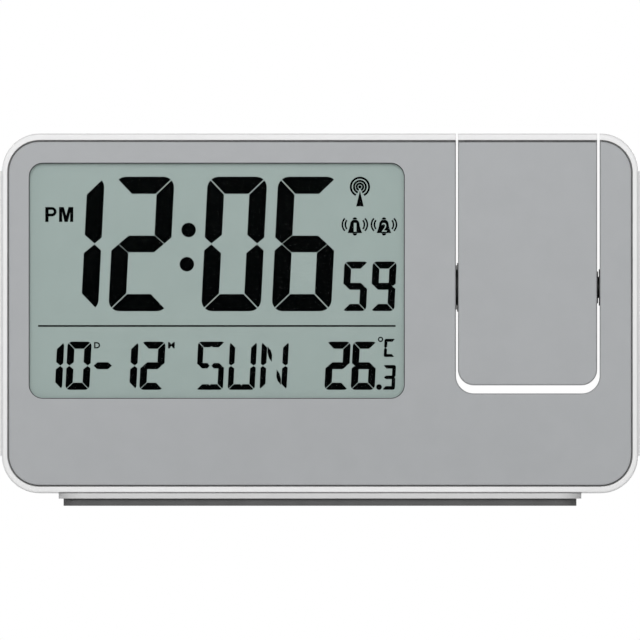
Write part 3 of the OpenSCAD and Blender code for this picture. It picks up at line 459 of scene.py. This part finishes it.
def inset(loop, widths):
    """The loop with each point moved by its width to the left, which is where the plate's material is."""
    moved = []
    for i, (point, width) in enumerate(zip(loop, widths)):
        before = (point - loop[i - 1]).normalized()
        after = (loop[(i + 1) % len(loop)] - point).normalized()
        left_before, left_after = Vector((-before.y, before.x)), Vector((-after.y, after.x))
        mitre = max(1 + left_before.dot(left_after), MITRE_LIMIT)
        moved.append(point + width * (left_before + left_after) / mitre)
    return moved


def soft_plate(mesh, loops, y_front, y_back, steepness=1.0, rows=5):
    """Adds a plate to a bmesh. Each loop comes with the widths of its rounded edge; holes run clockwise."""
    fronts, backs = [], []
    for loop, widths in loops:
        rings = [[mesh.verts.new((p.x, y_back, p.y)) for p in loop]]
        for row in range(rows + 1):
            turn = math.radians(90 * row / rows)
            moved = inset(loop, [width * (1 - math.cos(turn)) for width in widths])
            depths = [steepness * width * (1 - math.sin(turn)) for width in widths]
            rings.append([mesh.verts.new((p.x, y_front + d, p.y)) for p, d in zip(moved, depths)])
        for row, (low, high) in enumerate(zip(rings, rings[1:])):
            for i in range(len(loop)):
                j = (i + 1) % len(loop)
                mesh.faces.new((low[i], low[j], high[j], high[i])).smooth = row > 0
        fronts.append(rings[-1])
        backs.append(rings[0])
    for rings in (fronts, backs):
        flat = [vertex for ring_verts in rings for vertex in ring_verts]
        lines = [[vertex.co for vertex in ring_verts] for ring_verts in rings]
        for triangle in tessellate_polygon(lines):
            mesh.faces.new([flat[i] for i in triangle])


def screw_spots(node):
    """Where the screws of a node stand, in X and Z."""
    screws = []
    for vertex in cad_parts[node].data.vertices:
        place = (vertex.co.x, vertex.co.z)
        near = [screw for screw in screws if math.dist(screw[0], place) < SCREW_REACH]
        if near:
            near[0].append(place)
        else:
            screws.append([place])
    return [[(min(values) + max(values)) / 2 for values in zip(*screw)] for screw in screws]


def add_bosses(mesh, spots, y0, y1, radius, bore, sides=24):
    """Adds the hollow screw bosses behind a face."""
    for spot in spots:
        rings = [
            [mesh.verts.new((x, y, z)) for x, z in circle(spot, size, sides)]
            for size, y in ((radius, y0), (radius, y1), (bore, y1), (bore, y0))
        ]
        for row, low in enumerate(rings):
            high = rings[(row + 1) % len(rings)]
            for i in range(sides):
                j = (i + 1) % sides
                mesh.faces.new((low[i], low[j], high[j], high[i])).smooth = row in (0, 2)


class CLOCK_OT_build_faces(bpy.types.Operator):
    """Builds the grey faces of the body and the arm, with rounded edges and their screw bosses"""

    bl_idname = "clock.build_faces"
    bl_label = "Build the Grey Faces"

    def execute(self, context):
        face, edges = context.scene.clock_face, context.scene.clock_edges
        low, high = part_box("front_panel")
        arm_low, arm_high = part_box("arm_front_panel")
        y_front, y_back = low.y, low.y + face.thick

        # The outline goes down into the notch and up again between its two upper corners
        x0, x1 = arm_low.x - face.gap_left, arm_high.x + face.gap_right
        r = face.notch_corner
        z_turn = arm_low.z - face.gap_under + r
        notch = [Vector((x1, high.z))]
        notch += corner_points((x1 - r, z_turn), r, 0, -90)
        notch += corner_points((x0 + r, z_turn), r, -90, -180)
        notch += [Vector((x0, high.z))]
        outer = rounded_loop(low.x, high.x, low.z, high.z, face.corner)
        half = len(outer) // 2
        widths = [edges.face] * half + [edges.notch] * len(notch) + [edges.face] * half
        outer = outer[:half] + notch + outer[half:]

        pane_low, pane_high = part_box("display_window")
        lap = face.window_lap
        window = rounded_loop(
            pane_low.x + lap, pane_high.x - lap, pane_low.z + lap, pane_high.z - lap, face.window_corner
        )
        cut_out = (window[::-1], [edges.window] * len(window))
        mesh = bmesh.new()
        soft_plate(mesh, [(outer, widths), cut_out], y_front, y_back, edges.steepness)
        add_bosses(mesh, screw_spots("board_screws"), y_back, high.y, face.boss, face.bore)
        piece = print_piece(mesh, "body_face", "sprayed_abs_grey", "housing")
        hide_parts("front_panel")

        # A dark line on the clear window where it meets the cut-out: the seam there, darkened further as
        # painted shade of the cut-out's edge
        mesh = bmesh.new()
        sharp = [0.0] * len(window)
        inner = inset(window, [face.window_shade_line] * len(window))[::-1]
        y_shade_line = pane_low.y - face.shade_line_height
        soft_plate(mesh, [(window, sharp), (inner, sharp)], y_shade_line, pane_low.y, rows=1)
        print_piece(mesh, "window_shade_line", "pad_print_dark", "housing")

        r = face.arm_corner
        arm = [Vector((arm_high.x, arm_high.z)), Vector((arm_low.x, arm_high.z))]
        arm += corner_points((arm_low.x + r, arm_low.z + r), r, 180, 270)
        arm += corner_points((arm_high.x - r, arm_low.z + r), r, 270, 360)
        mesh = bmesh.new()
        soft_plate(mesh, [(arm, [edges.notch] * len(arm))], y_front, y_back, edges.steepness)
        add_bosses(mesh, screw_spots("arm_screws"), y_back, arm_high.y, face.boss, face.bore)
        piece = print_piece(mesh, "arm_face", "sprayed_abs_grey", "projector")
        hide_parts("arm_front_panel")
        return {"FINISHED"}


# Signs. Their outlines are lists of (right, down). A surface is the place where both are 0, and the side
# that it is seen from: 1 from the front, -1 from behind, where right is -X


def lcd_glass():
    """The front of the LCD's glass, from the display cut-out's top left corner."""
    low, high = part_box("display_window")
    lap = bpy.context.scene.clock_face.window_lap
    return Vector((low.x + lap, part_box("lcd_panel")[0].y, high.z - lap)), 1


def behind(node):
    """The middle of a node's rear face, seen from behind."""
    low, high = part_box(node)
    return Vector(((low.x + high.x) / 2, high.y, (low.z + high.z) / 2)), -1


def on_surface(surface, right, down, out):
    """The point that lies right, down and out from a surface's corner."""
    corner, side = surface
    return corner + Vector((side * right, -side * out, -down))


def print_piece(mesh, name, material, body):
    """Turns a finished bmesh into a piece that rides on a body."""
    bmesh.ops.recalc_face_normals(mesh, faces=mesh.faces)
    data = bpy.data.meshes.new(name)
    mesh.to_mesh(data)
    mesh.free()
    data.materials.append(bpy.data.materials[material])
    piece = bpy.data.objects.new(name, data)
    bpy.context.collection.objects.link(piece)
    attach(piece, body)
    return piece


def plate_mesh(name, surface, outlines, thick, material, body, slot):
    """Thin plates that stand on a surface, one for each outline."""
    mesh = bmesh.new()
    for outline in outlines:
        back = [mesh.verts.new(on_surface(surface, right, down, 0)) for right, down in outline]
        front = [mesh.verts.new(on_surface(surface, right, down, thick)) for right, down in outline]
        mesh.faces.new(front)
        mesh.faces.new(list(reversed(back)))
        for i in range(len(outline)):
            j = (i + 1) % len(outline)
            mesh.faces.new((front[j], front[i], back[i], back[j]))
    print_piece(mesh, name, material, body)


def mirror_right(outline, width):
    """The outline seen in a mirror that stands at the middle of a cell."""
    return [(width - right, down) for right, down in reversed(outline)]


def mirror_down(outline, height):
    """The outline turned upside down in its cell."""
    return [(right, height - down) for right, down in reversed(outline)]


def seven_segments(width, height, stroke, gap, split=False):
    """The outlines of one cell's segments a to g. A split cell is the kind that also shows letters.

    The shares of the stroke and of the cell come from the photograph.
    """
    radius = 0.66 * stroke
    cut = gap * math.sqrt(0.5)
    turn = math.degrees(math.asin(cut / (math.sqrt(2) * radius)))
    middle = height / 2
    tip, shoulder = 0.4 * stroke, 0.555 * stroke
    corner = (radius, radius)
    left_half = arc(corner, radius, 225 + turn, 270, 6)
    a = left_half + mirror_right(left_half, width)
    a += [(width - stroke - cut, stroke)]
    if split:
        notch = 0.25 * stroke
        a += [(width / 2 + notch, stroke), (width / 2, stroke - notch), (width / 2 - notch, stroke)]
    a += [(stroke + cut, stroke)]
    f = arc(corner, radius, 180, 225 - turn, 6)
    f += [(stroke, stroke + cut), (stroke, middle - shoulder), (tip, middle - gap / 2), (0, middle - tip)]
    half = 0.485 * stroke
    bar_tip = 0.44 * stroke
    segments = {"a": a, "f": f, "b": mirror_right(f, width), "d": mirror_down(a, height)}
    segments["e"] = mirror_down(f, height)
    segments["c"] = mirror_right(segments["e"], width)
    if split:
        inner = width / 2 - gap
        inner_end = inner - 0.45 * stroke
        g_left = [(bar_tip, middle), (stroke, middle - half), (inner_end, middle - half)]
        g_left += [(inner, middle), (inner_end, middle + half), (stroke, middle + half)]
        segments["g"] = g_left
        segments["k"] = mirror_right(g_left, width)
        slash = [(1.14 * stroke, 0.96 * stroke), (0.335 * width, 0.184 * height)]
        slash += [(0.39 * width, 0.272 * height), (0.395 * width, 0.415 * height)]
        slash += [(0.297 * width, 0.335 * height), (0.229 * width, 0.22 * height)]
        segments["h"] = slash
        segments["l"] = mirror_down(mirror_right(slash, width), height)
    else:
        g = [(bar_tip, middle), (stroke, middle - half), (width - stroke, middle - half)]
        g += [(width - bar_tip, middle), (width - stroke, middle + half), (stroke, middle + half)]
        segments["g"] = g
    return segments


# Segments that are lit for each sign. k is the right half of the middle bar, h and l the slashes of N
LIT = {
    "0": "abcdef", "1": "bc", "2": "abged", "3": "abgcd", "5": "afgcd", "6": "afgecd", "9": "abcdfg",
    "-": "g", "C": "afed", "S": "afgkcd", "U": "bcdef", "N": "efbchl",
}


def cell_outlines(sign, place, width, height, stroke, gap, lean, split=False):
    """The lit outlines of a sign whose cell's top left corner stands at place, leaning to the right."""
    segments = seven_segments(width, height, stroke, gap, split)
    return [
        [(place[0] + right - lean * down, place[1] + down) for right, down in segments[letter]]
        for letter in LIT[sign]
    ]


def ring(centre, radius, stroke, start, end, steps=32):
    """An arc drawn with a stroke, whose outer radius is given."""
    outer = arc(centre, radius, start, end, steps)
    return outer + list(reversed(arc(centre, radius - stroke, start, end, steps)))


def in_mm(*values):
    """Millimetres as metres."""
    return tuple(value * MM for value in values)


def bar(left, top, right, bottom):
    """A straight bar's outline."""
    return [(left, top), (right, top), (right, bottom), (left, bottom)]


def placed(outlines, place=(0, 0), scale=1.0):
    """Outlines in millimetres, scaled and moved to a place in millimetres, as outlines in metres."""
    return [
        [in_mm(place[0] + right * scale, place[1] + down * scale) for right, down in outline]
        for outline in outlines
    ]


# Where the signs stand: (right, down) of their top left corners in the window, in millimetres
HOUR_SIGNS = [("1", (3.97, 3.33)), ("2", (20.32, 3.33)), ("0", (42.07, 3.33)), ("6", (58.59, 3.33))]
COLON_DOTS = [(37.52, 15.75), (37.1, 23.77)]
SECOND_SIGNS = [("5", (74.1, 23.21)), ("9", (80.72, 23.21))]
DATE_SIGNS = [("1", (2.81, 41.98)), ("0", (9.23, 41.98)), ("-", (14.91, 41.98)), ("1", (20.23, 41.98)),
              ("2", (26.55, 41.98))]
WEEKDAY_SIGNS = [("S", (39.82, 41.98)), ("U", (47.27, 41.98)), ("N", (54.75, 41.98))]
DEGREE_SIGNS = [("2", (69.94, 41.98)), ("6", (76.1, 41.98))]
HOUR_GAP = 0.36 * MM
SMALL_GAP = 0.26 * MM
SECOND_HEIGHT = 11.49 * MM
WEEKDAY_WIDTH = 6.23 * MM
WEEKDAY_STROKE = 1.2 * MM
# Signs and cells used once: the cell's width, height, stroke and gap in millimetres
TENTH_SIGNS, TENTH_CELL = [("3", (83.18, 47.46))], (2.9, 5.67, 0.73, 0.12)
CELSIUS_SIGNS, CELSIUS_CELL = [("C", (83.5, 41.32))], (2.41, 4.15, 0.59, 0.1)
COLON_RADIUS = 1.64
POINT_PLACE, POINT_RADIUS = (82.15, 52.57), 0.6
DIVIDER = (2.3, 38.11, 85.97, 38.39)
TOWER_TIP = (77.67, 5.65)
AFTERNOON_PLACE = (3.97, 10.43)
DEGREE_PLACE, DEGREE_RADIUS, DEGREE_STROKE = (82.5, 41.39), 0.56, 0.17
DEGREE_END = 347
# A bell's number, the place of its base's middle, and the number's width
BELLS = [("1", (76.48, 16.42), 0.62), ("2", (83.3, 16.42), 1.2)]
BELL_NUMBER_TOP, BELL_NUMBER_HEIGHT = 14.1, 2.05
# A small letter's name, sign, place and size
SMALL_LETTERS = [
    ("day_mark", "D", (15.31, 42.05), (1.4, 1.45)),
    ("month_mark", "M", (32.65, 42.05), (1.55, 1.45)),
]
SMALL_LETTER_WEIGHT = 0.03

# Marks behind, in millimetres from a key's or the slide switch's middle
MARK_BAR = (-1.4, -0.22, 1.4, 0.22)
MARK_POST = (-0.22, -1.4, 0.22, -0.22)
MARK_PITCH = 1.1
MARK_BELL_PLACE, MARK_BELL_SCALE = (-0.7, 1.1), 0.62
MARK_TOWER_TIP, MARK_TOWER_SCALE = (0, -0.7), 0.7
MARK_NUMBER_PLACE, MARK_NUMBER_HEIGHT = (1.75, -0.9), 1.7
MARK_NUMBER_WIDTHS = {"1": 0.5, "2": 0.95}
SWITCH_WORDS = [("mark_off", "OFF", (-2.2, -4.3), (3.4, 1.5)), ("mark_on", "ON", (-4.4, 2.9), (2.5, 1.5))]

LCD_INK = ("lcd_dark_segment", "housing", "black_plastic")


def lay_ink(lcd, name, outlines):
    """Lays dark segments on the LCD's glass. The crystal goes dark a little past its electrodes."""
    spread = []
    for outline in outlines:
        loop = [Vector((right - lcd.ink_spread, -down)) for right, down in outline]
        area = sum(loop[i - 1].x * point.y - point.x * loop[i - 1].y for i, point in enumerate(loop))
        if area < 0:
            loop.reverse()
        grown = inset(loop, [-lcd.ink_spread] * len(loop))
        spread.append([(point.x, -point.y) for point in grown])
    plate_mesh(name, lcd_glass(), spread, lcd.ink_height, *LCD_INK)


class CLOCK_OT_set_digits(bpy.types.Operator):
    """Lays the LCD's digits on its glass"""

    bl_idname = "clock.set_digits"
    bl_label = "Set the Digits"

    def execute(self, context):
        lcd = context.scene.clock_lcd
        hour = (lcd.hour_width, lcd.hour_height, lcd.hour_stroke, HOUR_GAP, lcd.lean)
        small = (lcd.small_width, lcd.small_height, lcd.small_stroke, SMALL_GAP, lcd.lean)
        second = (lcd.small_width, SECOND_HEIGHT, lcd.small_stroke, SMALL_GAP, lcd.lean)
        letter = (WEEKDAY_WIDTH, lcd.small_height, WEEKDAY_STROKE, SMALL_GAP, lcd.lean, True)
        rows = [
            ("hour_digits", HOUR_SIGNS, hour),
            ("second_digits", SECOND_SIGNS, second),
            ("date_digits", DATE_SIGNS, small),
            ("weekday_letters", WEEKDAY_SIGNS, letter),
            ("degree_digits", DEGREE_SIGNS, small),
            ("tenth_digit", TENTH_SIGNS, (*in_mm(*TENTH_CELL), lcd.lean)),
            ("celsius_letter", CELSIUS_SIGNS, (*in_mm(*CELSIUS_CELL), lcd.lean)),
        ]
        for name, signs, cell in rows:
            outlines = []
            for sign, place in signs:
                outlines += cell_outlines(sign, in_mm(*place), *cell)
            lay_ink(lcd, name, outlines)
        dots = [circle(place, COLON_RADIUS) for place in COLON_DOTS]
        dots.append(circle(POINT_PLACE, POINT_RADIUS))
        lay_ink(lcd, "colon_and_point", placed(dots))
        return {"FINISHED"}


def letter_plate(name, surface, text, place, size, material, body, slot, thick, weight=0.0):
    """Letters in the built-in typeface, fitted into a box of the given width and height."""
    curve = bpy.data.curves.new(name, "FONT")
    curve.body = text
    curve.offset = weight
    source = bpy.data.objects.new(name, curve)
    bpy.context.collection.objects.link(source)
    graph = bpy.context.evaluated_depsgraph_get()
    flat = bpy.data.meshes.new_from_object(source.evaluated_get(graph))
    bpy.data.objects.remove(source)
    low = [min(vertex.co[i] for vertex in flat.vertices) for i in (0, 1)]
    high = [max(vertex.co[i] for vertex in flat.vertices) for i in (0, 1)]
    mesh = bmesh.new()
    mesh.from_mesh(flat)
    bpy.data.meshes.remove(flat)
    for vertex in mesh.verts:
        right = place[0] + (vertex.co.x - low[0]) / (high[0] - low[0]) * size[0]
        down = place[1] + (high[1] - vertex.co.y) / (high[1] - low[1]) * size[1]
        vertex.co = on_surface(surface, right, down, 0)
    bmesh.ops.remove_doubles(mesh, verts=mesh.verts, dist=LETTER_WELD)
    grown = bmesh.ops.extrude_face_region(mesh, geom=mesh.faces[:])["geom"]
    for vertex in (part for part in grown if isinstance(part, bmesh.types.BMVert)):
        vertex.co.y -= surface[1] * thick
    print_piece(mesh, name, material, body)


def stroke_letters():
    """The outlines of PM in a bold stroke, in millimetres from its top left corner."""
    stem, bowl_r, bowl_stroke, bowl_x, height = 0.66, 1.04, 0.54, 1.5, 3.38
    m_left, m_width, m_valley, m_foot, m_shoulder = 3.24, 3.22, 2.0, 1.96, 1.05
    outlines = [
        bar(0, 0, stem, height),
        bar(stem, 0, bowl_x, bowl_stroke),
        bar(stem, 2 * bowl_r - bowl_stroke, bowl_x, 2 * bowl_r),
        ring((bowl_x, bowl_r), bowl_r, bowl_stroke, -90, 90, 16),
    ]
    m_top = [(0, 0), (1.0, 0)]
    m_top += [(m_width / 2, m_valley)] + mirror_right(m_top, m_width)
    m_low = [(m_width, height), (m_width - stem, height), (m_width - stem, m_shoulder), (m_foot, height)]
    m_low += mirror_right(m_low, m_width)
    outlines.append([(right + m_left, down) for right, down in m_top + m_low])
    return outlines


def oval(middle_up, wide, tall, start, end, step):
    """Points of an upright oval's arc, as (right, up)."""
    angles = [math.radians(angle) for angle in range(start, end, step)]
    return [(wide * math.cos(a), middle_up + tall * math.sin(a)) for a in angles]


def bell_outlines():
    """A bell with its knob, clapper and ringing marks, in millimetres from the middle of its base."""
    flank = [(1.62, 0.0), (1.55, 0.19), (1.27, 0.94), (1.1, 1.64), (1.03, 2.06)]
    flank += oval(2.06, 1.03, 0.98, 15, 90, 15)
    body = flank + [(0.0, 3.04)] + mirror_right(flank, 0)
    knob, clapper = oval(3.2, 0.47, 0.36, 0, 181, 20), oval(-0.16, 0.47, -0.42, 0, 181, 20)
    outlines = [[(right, -up) for right, up in outline] for outline in (body, knob, clapper)]
    mark_up, mark_stroke = 1.92, 0.27
    for side, turn in ((1, 0), (-1, 180)):
        for offset, radius, half in ((0.87, 2.2, 43), (0.59, 1.78, 37)):
            middle = (side * offset, -mark_up)
            outlines.append(ring(middle, radius, mark_stroke, turn - half, turn + half, 10))
    return outlines


def tower_outlines():
    """A mast that sends waves, in millimetres from its tip."""
    wave_stroke, tip_radius = 0.36, 0.33
    outlines = [
        ring((0, 0), radius, wave_stroke, 90 + opening, 450 - opening, 48)
        for radius, opening in ((2.32, 27), (1.58, 23), (0.95, 23))
    ]
    outlines.append(circle((0, 0), tip_radius))
    outlines.append([(0, 0.95), (0.81, 4.55), (0, 4.47), (-0.81, 4.55)])
    return outlines


class CLOCK_OT_set_signs(bpy.types.Operator):
    """Lays the LCD's signs, line and small letters on its glass"""

    bl_idname = "clock.set_signs"
    bl_label = "Set the Signs"

    def execute(self, context):
        lcd = context.scene.clock_lcd
        thick, glass = lcd.ink_height, lcd_glass()
        degree = ring(DEGREE_PLACE, DEGREE_RADIUS, DEGREE_STROKE, 0, DEGREE_END)
        lay_ink(lcd, "divider_line", placed([bar(*DIVIDER)]))
        lay_ink(lcd, "radio_tower", placed(tower_outlines(), TOWER_TIP))
        lay_ink(lcd, "degree_sign", placed([degree]))
        lay_ink(lcd, "afternoon_mark", placed(stroke_letters(), AFTERNOON_PLACE))
        for number, base, width in BELLS:
            lay_ink(lcd, f"alarm_bell_{number}", placed(bell_outlines(), base))
            corner = in_mm(base[0] - width / 2, BELL_NUMBER_TOP)
            letter_plate(f"bell_number_{number}", glass, number, corner, in_mm(width, BELL_NUMBER_HEIGHT),
                         "lcd_reflector_film", *LCD_INK[1:], 2 * thick)
        for name, letter, place, size in SMALL_LETTERS:
            letter_plate(name, glass, letter, in_mm(*place), in_mm(*size), *LCD_INK, thick,
                         SMALL_LETTER_WEIGHT)
        return {"FINISHED"}


class CLOCK_OT_print_marks(bpy.types.Operator):
    """Prints the marks on the rear keys and beside the slide switch"""

    bl_idname = "clock.print_marks"
    bl_label = "Print the Rear Marks"

    def execute(self, context):
        thick = context.scene.clock_lcd.ink_height
        level, post = bar(*MARK_BAR), bar(*MARK_POST)
        rows = [[(right, down + step * MARK_PITCH) for right, down in level] for step in (-1, 0, 1)]
        bell = placed(bell_outlines(), MARK_BELL_PLACE, MARK_BELL_SCALE)
        marks = {
            "mode": placed(rows),
            "minus": placed([level]),
            "plus": placed([level, post, mirror_down(post, 0)]),
            "alarm_1": bell,
            "alarm_2": bell,
            "receive": placed(tower_outlines(), MARK_TOWER_TIP, MARK_TOWER_SCALE),
        }
        for key, outlines in marks.items():
            ink = ("pad_print_dark", f"button_{key}", "black_plastic")
            plate_mesh(f"mark_{key}", behind(f"key_{key}"), outlines, thick, *ink)
        for number, width in MARK_NUMBER_WIDTHS.items():
            ink = ("pad_print_dark", f"button_alarm_{number}", "black_plastic")
            letter_plate(f"mark_number_{number}", behind(f"key_alarm_{number}"), number,
                         in_mm(*MARK_NUMBER_PLACE), in_mm(width, MARK_NUMBER_HEIGHT), *ink, thick)
        middle, side = behind("switch_knob")
        middle.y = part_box("rear_cover")[1].y
        ink = ("pad_print_dark", "housing", "black_plastic")
        for name, word, place, size in SWITCH_WORDS:
            letter_plate(name, (middle, side), word, in_mm(*place), in_mm(*size), *ink, thick)
        return {"FINISHED"}


def plain_rays(tree):
    """1 for the rays that meet plain white: the camera's, and those of gloss and of clear plastic."""
    path = add(tree, "ShaderNodeLightPath")
    found = path.outputs["Is Camera Ray"]
    for kind in ("Is Glossy Ray", "Is Transmission Ray"):
        both = add(tree, "ShaderNodeMath", {0: found, 1: path.outputs[kind]}, operation="MAXIMUM")
        found = both.outputs[0]
    return found


class CLOCK_OT_set_stage(bpy.types.Operator):
    """Sets the pale floor, the soft lights, the white surroundings and the camera"""

    bl_idname = "clock.set_stage"
    bl_label = "Set the Stage"

    def execute(self, context):
        self.lay_floor(context)
        self.fill_world(context)
        self.hang_lamps(context)
        self.place_camera(context)
        context.scene.view_settings.view_transform = "Standard"
        return {"FINISHED"}

    def lay_floor(self, context):
        mesh = bmesh.new()
        bmesh.ops.create_circle(mesh, cap_ends=True, segments=FLOOR_SIDES, radius=FLOOR_RADIUS)
        data = bpy.data.meshes.new("floor")
        mesh.to_mesh(data)
        mesh.free()
        floor = bpy.data.objects.new("floor", data)
        context.collection.objects.link(floor)
        material, tree, out = blank_material("white_studio_floor")
        lift = add(tree, "ShaderNodeMath", {0: plain_rays(tree), 1: FLOOR_GLOW}, operation="MULTIPLY")
        paint = add(tree, "ShaderNodeBsdfDiffuse", {"Color": linear(FLOOR_PAINT)})
        glow = add(tree, "ShaderNodeEmission", {"Color": WHITE, "Strength": lift.outputs[0]})
        both = add(tree, "ShaderNodeAddShader", {0: paint.outputs[0], 1: glow.outputs[0]})
        tree.links.new(both.outputs[0], out.inputs["Surface"])
        data.materials.append(material)

    def fill_world(self, context):
        world = bpy.data.worlds.new("white_studio")
        context.scene.world = world
        world.use_nodes = True
        tree = world.node_tree
        tree.nodes.clear()
        soft = add(tree, "ShaderNodeBackground", {"Color": WHITE, "Strength": WORLD_STRENGTH})
        white = add(tree, "ShaderNodeBackground", {"Color": WHITE, "Strength": 1.0})
        both = add(
            tree, "ShaderNodeMixShader", {0: plain_rays(tree), 1: soft.outputs[0], 2: white.outputs[0]}
        )
        out = add(tree, "ShaderNodeOutputWorld")
        tree.links.new(both.outputs[0], out.inputs["Surface"])

    def hang_lamps(self, context):
        for name, place, power in LAMPS:
            light = bpy.data.lights.new(name, "AREA")
            light.shape = "DISK"
            light.size = LAMP_SIZE
            light.energy = power
            lamp = bpy.data.objects.new(name, light)
            lamp.location = place
            lamp.rotation_euler = (Vector(LAMP_AIM) - Vector(place)).to_track_quat("-Z", "Y").to_euler()
            context.collection.objects.link(lamp)

    def place_camera(self, context):
        data = bpy.data.cameras.new("camera")
        data.type = "ORTHO"
        data.ortho_scale = PHOTO_WIDTH
        data.clip_start, data.clip_end = CAMERA_CLIP
        camera = bpy.data.objects.new("camera", data)
        scale = PHOTO_WIDTH / PHOTO_PX
        camera.location = (0, -CAMERA_DISTANCE, (PHOTO_FLOOR_PX - PHOTO_PX / 2) * scale)
        camera.rotation_euler = (math.radians(90), 0, 0)
        context.collection.objects.link(camera)
        context.scene.camera = camera


class CLOCK_PT_looks(bpy.types.Panel):
    """The sizes and steps of the clock's looks"""

    bl_idname = "CLOCK_PT_looks"
    bl_label = "Projection Alarm Clock"
    bl_space_type = "VIEW_3D"
    bl_region_type = "UI"
    bl_category = "Clock"

    def draw(self, context):
        for group in (context.scene.clock_lcd, context.scene.clock_edges, context.scene.clock_face):
            box = self.layout.box()
            for name in group.bl_rna.properties.keys():
                if name not in ("rna_type", "name"):
                    box.prop(group, name)
        for step in STEPS:
            self.layout.operator(step.bl_idname)


STEPS = (
    CLOCK_OT_finish_nodes, CLOCK_OT_build_faces, CLOCK_OT_set_digits, CLOCK_OT_set_signs,
    CLOCK_OT_print_marks, CLOCK_OT_set_stage,
)
CLASSES = (ClockLcd, ClockEdges, ClockFace, *STEPS, CLOCK_PT_looks)


def register():
    for item in CLASSES:
        bpy.utils.register_class(item)
    bpy.types.Scene.clock_lcd = bpy.props.PointerProperty(type=ClockLcd)
    bpy.types.Scene.clock_edges = bpy.props.PointerProperty(type=ClockEdges)
    bpy.types.Scene.clock_face = bpy.props.PointerProperty(type=ClockFace)


def unregister():
    del bpy.types.Scene.clock_face
    del bpy.types.Scene.clock_edges
    del bpy.types.Scene.clock_lcd
    for item in reversed(CLASSES):
        bpy.utils.unregister_class(item)


def main():
    """Makes the looks in order."""
    register()
    for step in STEPS:
        group, name = step.bl_idname.split(".")
        getattr(getattr(bpy.ops, group), name)()


if __name__ == "__main__":
    main()
